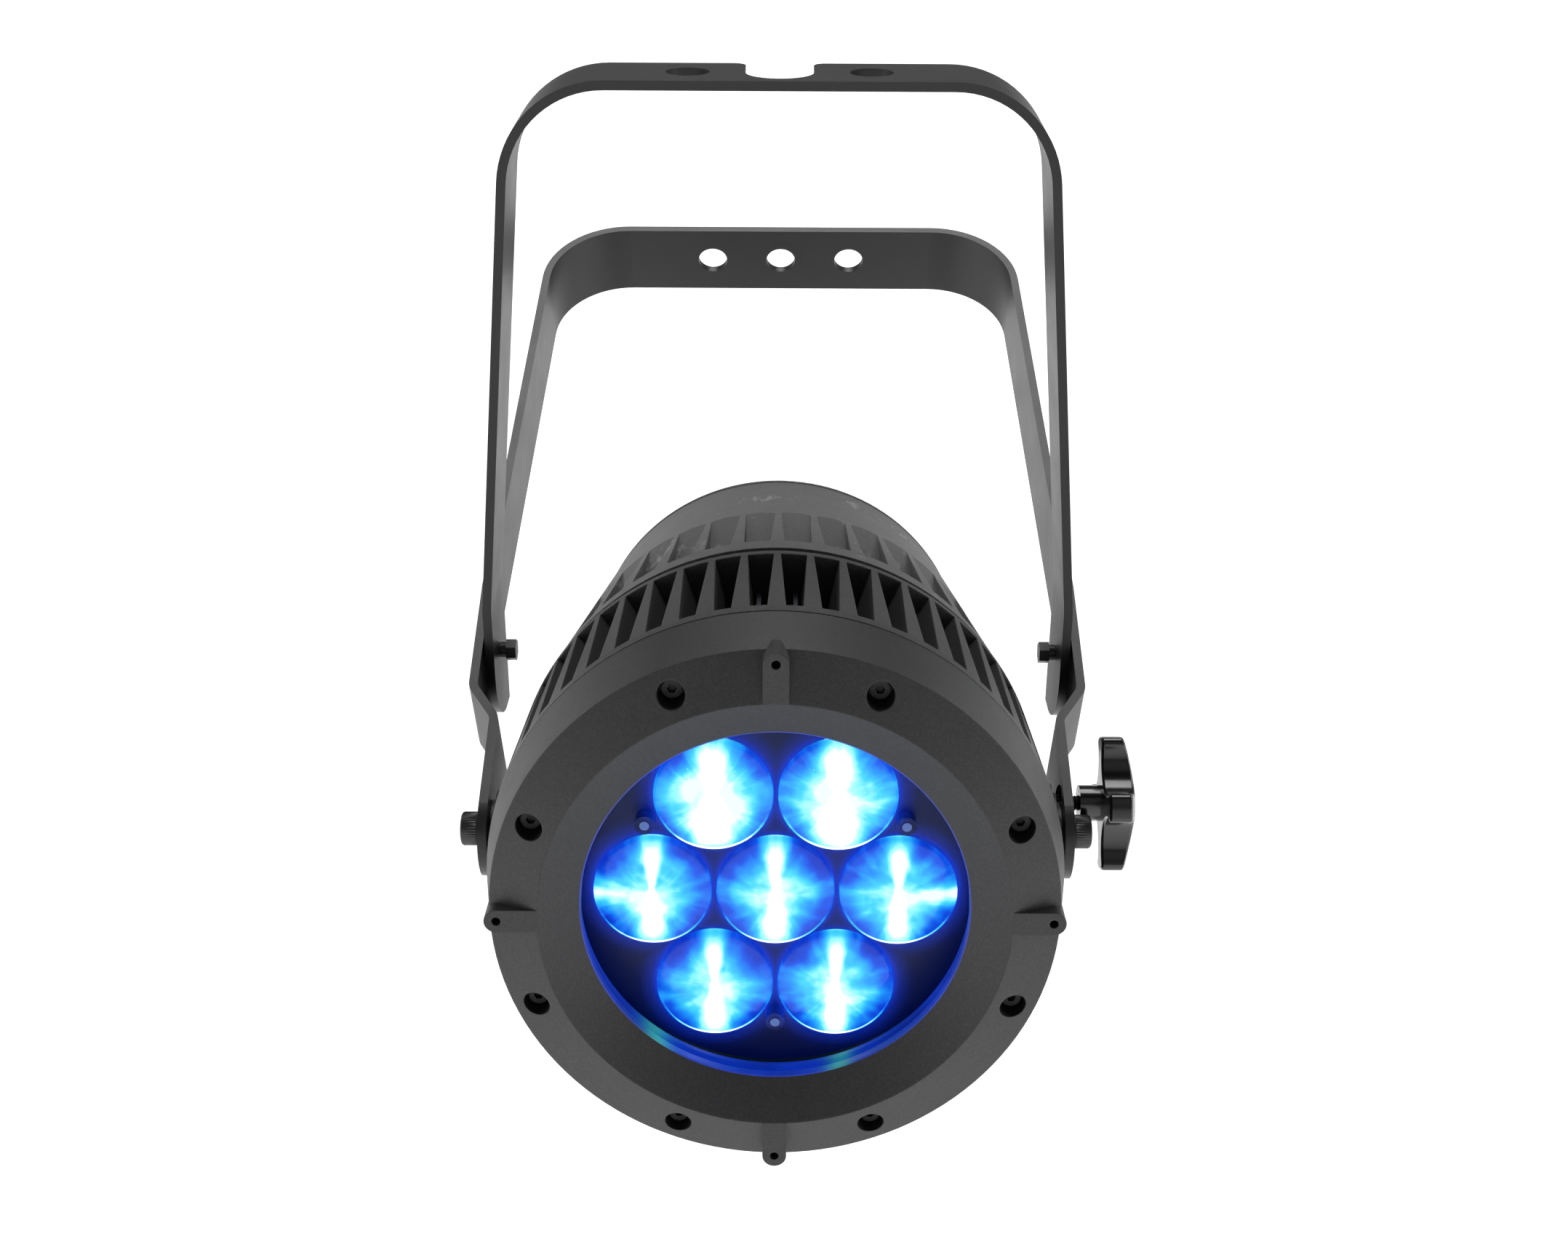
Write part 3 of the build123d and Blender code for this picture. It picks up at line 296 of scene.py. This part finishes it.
def clear_glass():
    """Thin clear pane: mostly passes light, with a faint blue tint and reflections."""
    material, n = new_material("front_glass_clear")
    clear = n.add("ShaderNodeBsdfTransparent")
    clear.inputs[0].default_value = (0.93, 0.96, 1.0, 1.0)
    gloss = n.add("ShaderNodeBsdfGlossy")
    gloss.inputs["Color"].default_value = (0.9, 0.95, 1.0, 1.0)
    n.put(gloss.inputs["Roughness"], n.math("MULTIPLY_ADD", n.noise(35.0, 3.0, 0.6), 0.05, 0.01))
    fresnel = n.add("ShaderNodeFresnel")
    fresnel.inputs["IOR"].default_value = 1.06
    mixed = n.add("ShaderNodeMixShader")
    n.link(fresnel.outputs[0], mixed.inputs[0])
    n.link(clear.outputs[0], mixed.inputs[1])
    n.link(gloss.outputs[0], mixed.inputs[2])
    output = n.add("ShaderNodeOutputMaterial")
    n.link(mixed.outputs[0], output.inputs[0])
    return material


def bell(n, value, width):
    """Soft bump that is 1 where value is 0 and falls off over width."""
    squared = n.math("POWER", n.math("DIVIDE", value, width), 2.0)
    return n.math("POWER", EULER, n.math("MULTIPLY", squared, -1.0))


def lens_light(name, radius, core, glow, flare, seed):
    """Lit acrylic lens: a white hourglass in a cyan halo that falls to blue at the rim."""
    material, n = new_material(name)
    place = n.vector("MULTIPLY", n.place(), (1 / radius,) * 3)
    x, y, _ = n.split(place)
    far = n.math("SQRT", n.math("ADD", n.math("POWER", x, 2.0), n.math("POWER", y, 2.0)))
    flat = n.vector("MULTIPLY", place, (1.0, 1.0, 0.0))
    ripple = n.noise(2.6, 3.0, 0.6, n.vector("ADD", flat, (seed, seed, 0)))
    shifted = n.math("ADD", x, n.math("MULTIPLY_ADD", ripple, 0.07, -0.035))
    # hourglass: a vertical beam with its waist a little above the middle
    above = n.math("ABSOLUTE", n.math("SUBTRACT", y, 0.14))
    width = n.math("MULTIPLY_ADD", above, 0.23 * core, 0.055 * core)
    reach = n.ramp(n.math("ABSOLUTE", y), (0.62, 1.0), (1.0, 0.35))
    edge = n.math("POWER", n.math("ABSOLUTE", n.math("DIVIDE", shifted, width)), 3.0)
    beam = n.math("MULTIPLY", n.math("POWER", EULER, n.math("MULTIPLY", edge, -1.0)), reach)
    # halo round the lower half of the beam
    low_y = n.math("MULTIPLY", n.math("ADD", y, 0.18), 0.78)
    wide_x = n.math("MULTIPLY", x, 1.22)
    halo = n.math("SQRT", n.math("ADD", n.math("POWER", wide_x, 2.0), n.math("POWER", low_y, 2.0)))
    halo = n.ramp(halo, (0.0, 0.44), (0.26, 0.34), (0.52, 0.20), (0.98, 0.0))
    # pale patches and faint streaks of the moulded back
    patch_place = n.vector("ADD", n.vector("MULTIPLY", place, (1.3, 1.5, 0.0)), (seed * 1.3, 0, seed))
    patches = n.ramp(n.noise(1.6, 2.0, 0.5, patch_place), (0.36, 0.0), (0.64, 0.24))
    patches = n.math("MULTIPLY", patches, n.ramp(far, (0.35, 1.0), (0.95, 0.55)))
    turn = n.add("ShaderNodeCombineXYZ")
    n.put(turn.inputs[0], n.math("ARCTAN2", y, n.math("ABSOLUTE", x)))
    n.put(turn.inputs[1], n.math("MULTIPLY", far, 0.30))
    turn.inputs[2].default_value = seed
    streaks = n.ramp(n.noise(4.5, 2.0, 0.5, turn.outputs[0]), (0.45, 0.0), (0.70, 0.15))
    streaks = n.math("MULTIPLY", streaks, far)
    # flare towards the outer edge on the side lenses
    total = halo
    if flare:
        side = n.ramp(n.math("MULTIPLY", x, flare), (0.10, 0.0), (0.60, 0.30), (0.95, 0.52))
        spread = n.math("MULTIPLY_ADD", n.math("ABSOLUTE", x), 0.22, 0.03)
        total = n.math("ADD", total, n.math("MULTIPLY", bell(n, n.math("ADD", y, 0.02), spread), side))
    overall = n.math("MULTIPLY", n.ramp(far, (0.70, 1.0), (0.98, 0.55)), glow)
    for part in (patches, streaks, overall):
        total = n.math("ADD", total, part)
    corner = n.math("DIVIDE", n.math("MULTIPLY", n.math("MULTIPLY", x, y), 2.0), n.math("POWER", far, 2.0))
    corner = n.math("MULTIPLY", n.math("POWER", corner, 2.0), n.ramp(far, (0.45, 0.0), (0.92, 0.22)))
    total = n.math("SUBTRACT", total, corner)
    total = n.math("MINIMUM", n.math("MAXIMUM", total, 0.0), 0.80)
    total = n.math("ADD", total, n.math("MULTIPLY", beam, n.math("SUBTRACT", 1.0, total)))
    # bright crescent along the lower rim
    low = n.ramp(n.math("MULTIPLY", y, -1.0), (0.30, 0.0), (0.80, 1.0))
    rim = n.ramp(far, (0.945, 0.0), (0.962, 1.0), (0.982, 1.0), (0.995, 0.1))
    total = n.math("ADD", total, n.math("MULTIPLY", n.math("MULTIPLY", rim, low), 0.60))
    speck = n.ramp(n.noise(30.0, 1.0, 0.4, place), (0.76, 0.0), (0.80, 0.22))
    total = n.math("ADD", total, speck, clamp=True)
    colour = n.ramp(
        total, (0.0, (0.003, 0.035, 0.62)), (0.16, (0.004, 0.10, 0.92)), (0.34, (0.015, 0.36, 1.0)),
        (0.54, (0.06, 0.68, 1.0)), (0.72, (0.38, 0.92, 1.0)), (0.88, (1.0, 1.0, 1.0)))
    strength = n.math("MULTIPLY_ADD", n.math("POWER", total, 2.0), 1.1, 0.78)
    cells = n.add("ShaderNodeTexVoronoi", feature="F1")
    n.link(place, cells.inputs["Vector"])
    cells.inputs["Scale"].default_value = 9.0
    n.principled(Base_Color=(0.004, 0.02, 0.10), Roughness=0.10, Specular_IOR_Level=0.25,
                 Emission_Color=colour, Emission_Strength=strength,
                 Normal=n.bump(cells.outputs["Distance"], 0.15, 0.1 * MM))
    return material


def lens_plate_paint(centres):
    """Dark glossy plate that glows blue close to the lenses."""
    material, n = new_material("lens_plate_navy")
    place = n.place()
    nearest = None
    for centre in centres:
        gap = n.vector("LENGTH", n.vector("SUBTRACT", place, tuple(centre)))
        nearest = gap if nearest is None else n.math("MINIMUM", nearest, gap)
    glow = n.ramp(n.math("MULTIPLY", nearest, 20.0), (0.425, 1.0), (0.475, 0.30), (0.56, 0.03), (0.62, 0.0))
    dust = n.ramp(n.noise(900.0, 3.0, 0.7), (0.62, 0.0), (0.75, 1.0))
    colour = n.mix(n.math("MULTIPLY", dust, 0.25), (0.002, 0.004, 0.020), (0.02, 0.035, 0.12))
    n.principled(Base_Color=colour, Roughness=0.40, Specular_IOR_Level=0.2,
                 Emission_Color=(0.003, 0.045, 0.85),
                 Emission_Strength=n.math("MULTIPLY_ADD", glow, 0.70, 0.035),
                 Normal=n.bump(n.noise(1500.0), 0.2, 0.03 * MM))
    return material


def circuit_board():
    material, n = new_material("circuit_green")
    cells = n.add("ShaderNodeTexVoronoi", feature="DISTANCE_TO_EDGE")
    n.link(n.place(), cells.inputs["Vector"])
    cells.inputs["Scale"].default_value = 300.0
    track = n.ramp(cells.outputs[0], (0.02, 1.0), (0.06, 0.0))
    colour = n.mix(track, (0.01, 0.10, 0.05), (0.05, 0.24, 0.12))
    n.principled(Base_Color=colour, Roughness=0.35, Normal=n.bump(track, 0.3, 0.05 * MM))
    return material


# ---- mesh helpers ----
def head_place(x, up, depth):
    """A point of the head: across, up, and behind the front plane."""
    return FACE + ACROSS * x + HEAD_UP * up + REARWARD * depth


def add_object(name, mesh_maker, centre, basis=None):
    """New mesh object with its origin at centre and its own Z along the head's front direction."""
    mesh = bpy.data.meshes.new(name)
    work = bmesh.new()
    mesh_maker(work)
    bmesh.ops.recalc_face_normals(work, faces=work.faces)
    work.to_mesh(mesh)
    work.free()
    piece = bpy.data.objects.new(name, mesh)
    bpy.context.scene.collection.objects.link(piece)
    piece.matrix_world = Matrix.Translation(centre) @ (basis or HEAD_BASIS).to_4x4()
    return piece


def lathe(work, profile, segments):
    """Closed solid of revolution about Z from (radius, height) points that start and end on the axis."""
    rings = []
    for radius, height in profile:
        if radius == 0:
            rings.append([work.verts.new((0, 0, height))])
            continue
        turn = [2 * math.pi * i / segments for i in range(segments)]
        rings.append([work.verts.new((radius * math.cos(a), radius * math.sin(a), height)) for a in turn])
    for low, high in zip(rings, rings[1:]):
        for i in range(segments):
            j = (i + 1) % segments
            corners = [low[i % len(low)], low[j % len(low)], high[j % len(high)], high[i % len(high)]]
            work.faces.new(list(dict.fromkeys(corners)))


def smooth_by_angle(piece, degrees=30.0):
    """Sharp edges where faces meet at more than an angle, smooth shading elsewhere."""
    mesh = piece.data
    for polygon in mesh.polygons:
        polygon.use_smooth = True
    mesh.set_sharp_from_angle(angle=math.radians(degrees))


# ---- pieces ----
def lens_centres():
    """Centre of each lens's front, from the frame."""
    centres = []
    for number in range(1, LENS_COUNT + 1):
        low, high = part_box(f"zoom_lens_{number}")
        middle = (low + high) / 2
        offset = middle - FACE
        centres.append((offset.dot(ACROSS), offset.dot(HEAD_UP)))
    return centres


def lens_depths():
    """Front and back depth of a lens, from the vertices of the middle one."""
    depths = [(v.co - FACE).dot(REARWARD) for v in frame["nodes"]["zoom_lens_1"].data.vertices]
    return min(depths), max(depths)


def lens_radius():
    low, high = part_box("zoom_lens_1")
    return (high.x - low.x) / 2


def build_lens(work):
    """Domed front with a rolled edge, a rim and a tapering body behind it."""
    radius = lens_radius()
    front, back = lens_depths()
    neck = radius * LENS_NECK_SCALE
    curve = (radius ** 2 + LENS_SAG ** 2) / (2 * LENS_SAG)
    points = [(0.0, 0.0)]
    for i in range(1, LENS_RINGS + 1):
        reach = LENS_DOME_SCALE * radius * i / LENS_RINGS
        points.append((reach, -(curve - math.sqrt(curve ** 2 - reach ** 2))))
    points += [(radius, -LENS_SAG - LENS_EDGE_DROP), (radius, -LENS_SEAT), (neck, -LENS_SEAT)]
    points += [(neck, -LENS_SEAT - LENS_NECK_LENGTH)]
    points += [(LENS_TAIL_RADIUS, -(back - front)), (0.0, -(back - front))]
    lathe(work, points, LENS_SEGMENTS)


def make_lenses():
    front = lens_depths()[0]
    radius = lens_radius()
    for number, (x, up) in enumerate(lens_centres(), 1):
        piece = add_object(f"lens_lit_{number}", build_lens, head_place(x, up, front))
        smooth_by_angle(piece, 40.0)
        core, glow = (1.10, 0.38) if abs(up) < MM else ((1.40, 0.44) if up > 0 else (0.90, 0.25))
        flare = 0.0 if abs(x) < 2 * radius * 0.9 else math.copysign(1.0, x)
        material = lens_light(f"lens_lit_blue_{number}", radius, core, glow, flare, 1.7 * number)
        piece.data.materials.append(material)
        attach(piece, "zoom")
        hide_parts(f"zoom_lens_{number}")


def knurled_head(work, radius, height, socket):
    """Cap screw head: knurled side, rounded top edge and a hexagon socket."""
    segments = KNURL_RIDGES * 2
    levels = [(0.92, 0.0), (1.0, 0.06), (1.0, 0.84), (0.95, 0.95), (0.86, 1.0), (0.58, 1.0)]
    rings = []
    for scale, level in levels:
        ring = []
        for i in range(segments):
            knurl = KNURL_DEPTH if (i % 2 and 0.03 < level < 0.9) else 1.0
            a = 2 * math.pi * i / segments
            reach = radius * scale * knurl
            ring.append(work.verts.new((reach * math.cos(a), reach * math.sin(a), height * level)))
        rings.append(ring)
    for depth in (1.0, 0.45):
        ring = []
        for i in range(segments):
            a = 2 * math.pi * i / segments
            side = (a + math.pi / 6) % (math.pi / 3) - math.pi / 6
            reach = socket / math.cos(side)
            ring.append(work.verts.new((reach * math.cos(a), reach * math.sin(a), height * depth)))
        rings.append(ring)
    for low, high in zip(rings, rings[1:]):
        for i in range(segments):
            j = (i + 1) % segments
            work.faces.new((low[i], low[j], high[j], high[i]))
    work.faces.new(list(reversed(rings[0])))
    work.faces.new(rings[-1])


def make_tilt_bolts(material):
    """Knurled cap screws outside the legs, with their shanks."""
    nodes = frame["nodes"]["tilt_bolts"].data.vertices
    radius = max(math.hypot(v.co.y - PIVOT.y, v.co.z - PIVOT.z) for v in nodes)
    reach = max(v.co.x for v in nodes)
    shank, length = BOLT_SHANK_RADIUS, BOLT_SHANK_LENGTH
    for name, side in (("tilt_bolt_left", -1), ("tilt_bolt_right", 1)):
        basis = Matrix(((0, 0, side), (0, side, 0), (-1, 0, 0)))

        def build(work):
            knurled_head(work, radius, BOLT_HEAD_HEIGHT, BOLT_SOCKET)
            profile = [(0, 0.0), (shank, 0.0), (shank, -length + MM), (shank - MM, -length), (0, -length)]
            lathe(work, profile, ROUND_SEGMENTS)

        piece = add_object(name, build, Vector((side * (reach - BOLT_HEAD_HEIGHT), PIVOT.y, PIVOT.z)), basis)
        smooth_by_angle(piece, 35.0)
        piece.data.materials.append(material)
        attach(piece, "head")
        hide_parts("tilt_bolts")


def make_knob_stud(material):
    """Stud of the lock knob, with V ridges for its thread."""
    low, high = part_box("knob_stud")
    radius = (high.z - low.z) / 2
    root = radius - THREAD_DEPTH

    def build(work):
        length = high.x - low.x
        turns = int(length / THREAD_PITCH)
        pitch = length / turns
        points = [(0, 0.0), (root, 0.0)]
        for i in range(turns):
            points.append((radius, pitch * (i + 0.5)))
            points.append((root, pitch * (i + 1)))
        lathe(work, points + [(0, length)], ROUND_SEGMENTS)

    basis = Matrix(((0, 0, 1), (1, 0, 0), (0, 1, 0)))
    start = Vector((low.x, (low.y + high.y) / 2, (low.z + high.z) / 2))
    piece = add_object("knob_stud_thread", build, start, basis)
    smooth_by_angle(piece, 40.0)
    piece.data.materials.append(material)
    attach(piece, "knob")
    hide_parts("knob_stud")


# ---- stage, light and camera ----
def build_stage():
    """Pale floor that curves up behind the object, well below it because it hangs."""
    low, high = CAD_BOX
    floor_level = low[2] - 0.35
    work = bmesh.new()
    width, front, back, radius, height = 6.0, -5.0, 3.0, 1.2, 2.1
    section = [(front, floor_level), (back - radius, floor_level)]
    steps = 16
    for i in range(1, steps + 1):
        a = math.pi / 2 * i / steps
        section.append((back - radius + radius * math.sin(a), floor_level + radius - radius * math.cos(a)))
    section.append((back, floor_level + height))
    columns = [[work.verts.new((x, y, z)) for y, z in section] for x in (-width, width)]
    for i in range(len(section) - 1):
        work.faces.new((columns[0][i], columns[1][i], columns[1][i + 1], columns[0][i + 1]))
    mesh = bpy.data.meshes.new("studio_floor")
    work.to_mesh(mesh)
    work.free()
    floor = bpy.data.objects.new("studio_floor", mesh)
    bpy.context.scene.collection.objects.link(floor)
    for polygon in mesh.polygons:
        polygon.use_smooth = True
    material, n = new_material("studio_white")
    n.principled(Base_Color=(0.93, 0.93, 0.93), Roughness=0.9,
                 Emission_Color=(1.0, 1.0, 1.0), Emission_Strength=0.75)
    mesh.materials.append(material)


def area_light(name, place, target, size, power):
    data = bpy.data.lights.new(name, "AREA")
    data.shape = "RECTANGLE"
    data.size, data.size_y = size
    data.energy = power
    light = bpy.data.objects.new(name, data)
    bpy.context.scene.collection.objects.link(light)
    light.location = place
    light.rotation_euler = (Vector(target) - Vector(place)).to_track_quat("-Z", "Y").to_euler()
    light.visible_camera = False


def build_lights():
    """White studio that is dimmer in front of the object, with soft boxes round it."""
    world = bpy.data.worlds.new("studio")
    bpy.context.scene.world = world
    world.use_nodes = True
    n = Nodes(world.node_tree)
    background = n.add("ShaderNodeBackground")
    output = n.add("ShaderNodeOutputWorld")
    n.link(background.outputs[0], output.inputs[0])
    _, toward, height = n.split(n.add("ShaderNodeTexCoord").outputs["Generated"])
    behind = n.ramp(n.math("MULTIPLY_ADD", toward, 0.5, 0.5), (0.25, 0.0), (0.75, 1.0))
    overhead = n.ramp(height, (0.30, 0.0), (0.65, 1.0))
    level = n.math("MULTIPLY_ADD", behind, 0.44, 0.14)
    n.put(background.inputs[1], n.math("MULTIPLY", level, n.math("MULTIPLY_ADD", overhead, -0.80, 1.0)))
    background.inputs[0].default_value = (1.0, 1.0, 1.0, 1.0)
    middle = PIVOT + Vector((0, 0, 0.05))
    area_light("low_key", (0.0, -0.75, -1.05), middle, (1.6, 0.8), 5.0)
    area_light("left_strip", (-1.2, -0.30, -0.25), middle, (0.5, 1.4), 9.0)
    area_light("right_strip", (1.2, -0.30, -0.25), middle, (0.5, 1.4), 9.0)
    area_light("left_high", (-1.2, -0.15, 0.75), middle, (0.6, 0.6), 7.0)
    area_light("right_high", (1.2, -0.15, 0.75), middle, (0.6, 0.6), 7.0)
    area_light("top_soft", (0.0, -0.30, 1.35), middle, (0.9, 0.9), 20.0)
    area_light("front_fill", (0.0, -1.7, 0.3), middle, (1.4, 1.0), 1.0)


def build_camera():
    data = bpy.data.cameras.new("camera")
    data.lens = FOCAL_MM
    data.sensor_width = SENSOR_MM
    data.sensor_fit = "HORIZONTAL"
    data.clip_start = 0.01
    camera = bpy.data.objects.new("camera", data)
    bpy.context.scene.collection.objects.link(camera)
    camera.location = PIVOT + CAMERA_FROM_PIVOT
    camera.rotation_euler = (math.pi / 2, CAMERA_ROLL, 0.0)
    bpy.context.scene.camera = camera


# ---- dress every CAD node ----
def dress(materials):
    """Gives each carried-over CAD node its material and smooth shading."""
    finish = {
        "casting": materials["casting"], "yoke_steel": materials["yoke"],
        "black_steel": materials["black_steel"],
        "clear_glass": materials["glass"], "rubber": materials["rubber"], "inner_metal": materials["inner"],
        "sink_metal": materials["sink"], "circuit": materials["circuit"], "emitter": materials["emitter"],
        "steel": materials["steel"], "knob_plastic": materials["knob"], "panel_plastic": materials["panel"],
        "button_rubber": materials["button"], "display_glass": materials["display"],
        "socket_plastic": materials["socket"], "lens_plate_paint": materials["plate"],
        "lens_acrylic": materials["glass"],
    }
    special = {
        "front_bezel": materials["bezel"],
        "rear_housing": materials["rear_casting_painted_light"], "rear_cover": materials["rear_casting_painted_light"],
        "glass_gasket": materials["lit_ring"], "glass_retainer": materials["lit_ring"],
        "optics_barrel": materials["barrel"], "bezel_screws": materials["screw_steel_painted_shade"],
        "guide_rods": materials["rod_steel"],
    }
    slots = {part["node"]: part["material_slot"] for part in frame["record"]["subparts"]}
    for name, node in frame["nodes"].items():
        node.data.materials.clear()
        node.data.materials.append(special.get(name, finish[slots[name]]))
        smooth_by_angle(node, 28.0)


def main():
    bpy.context.scene.view_settings.view_transform = "Standard"
    build_camera()
    build_lights()
    build_stage()
    radius_plane = lens_depths()[0] + LENS_SEAT
    centres = [head_place(x, up, radius_plane) for x, up in lens_centres()]
    materials = {
        "casting": powder_coat(
            "cast_charcoal", (0.016, 0.016, 0.017), (0.026, 0.026, 0.027), 0.50, 0.55, 0.10),
        # The front bezel takes a darker copy of the cast charcoal: painted shade; the glow in its bore is painted
        # blue light.
        "bezel": powder_coat(
            "cast_charcoal_bezel_painted_shade", (0.009, 0.009, 0.010), (0.0145, 0.0145, 0.0155), 0.50, 0.55, 0.10,
            lit_bore=True),
        # The rear housing and cover take a lighter copy of the cast charcoal: painted light on their upward faces;
        # the pale streaks are scuffs.
        "rear_casting_painted_light": powder_coat(
            "cast_charcoal_scuffs_and_painted_light", (0.032, 0.032, 0.033), (0.048, 0.048, 0.049), 0.52, 0.55, 0.10,
            scuffs=0.4),
        "lit_ring": powder_coat(
            "ring_dark", (0.004, 0.005, 0.012), (0.006, 0.007, 0.016), 0.55, 0.5, 0.05, lit_bore=True),
        "barrel": smooth_metal("barrel_black", (0.008, 0.010, 0.020), 0.55, 0.0),
        # The bezel screws take a darker copy of the black steel: painted shade for their dark counterbores.
        "screw_steel_painted_shade": smooth_metal("screw_black_painted_shade", (0.003, 0.003, 0.0035), 0.60, 0.0),
        # The blue tint of the guide rod ends is a painted reflection of the blue lens light on bare steel.
        "rod_steel": smooth_metal("rod_ends_painted_blue_reflection", (0.10, 0.14, 0.30), 0.40),
        "yoke": yoke_paint(),
        "black_steel": smooth_metal("black_oxide", (0.020, 0.020, 0.022), 0.34, 0.4),
        "steel": smooth_metal("bright_steel", (0.30, 0.34, 0.46), 0.35),
        "sink": smooth_metal("plain_aluminium", (0.62, 0.63, 0.65), 0.38, brushed=0.2),
        "inner": smooth_metal("dark_anodised", (0.10, 0.11, 0.13), 0.42, 0.5),
        "glass": clear_glass(),
        "rubber": plastic("black_rubber", (0.02, 0.02, 0.02), 0.7, grain=0.2),
        "button": plastic("button_grey", (0.06, 0.06, 0.065), 0.6, grain=0.2),
        "knob": plastic("knob_gloss", (0.003, 0.003, 0.004), 0.20, coat=0.10),
        "panel": plastic("panel_black", (0.025, 0.025, 0.027), 0.45, grain=0.2),
        "socket": plastic("socket_black", (0.02, 0.02, 0.022), 0.3),
        "display": plastic("display_dark", (0.01, 0.02, 0.04), 0.08, coat=1.0),
        "emitter": plastic("emitter_white", (0.8, 0.85, 0.9), 0.3),
        "circuit": circuit_board(),
        "plate": lens_plate_paint(centres),
    }
    dress(materials)
    make_lenses()
    make_tilt_bolts(materials["black_steel"])
    make_knob_stud(materials["black_steel"])


main()
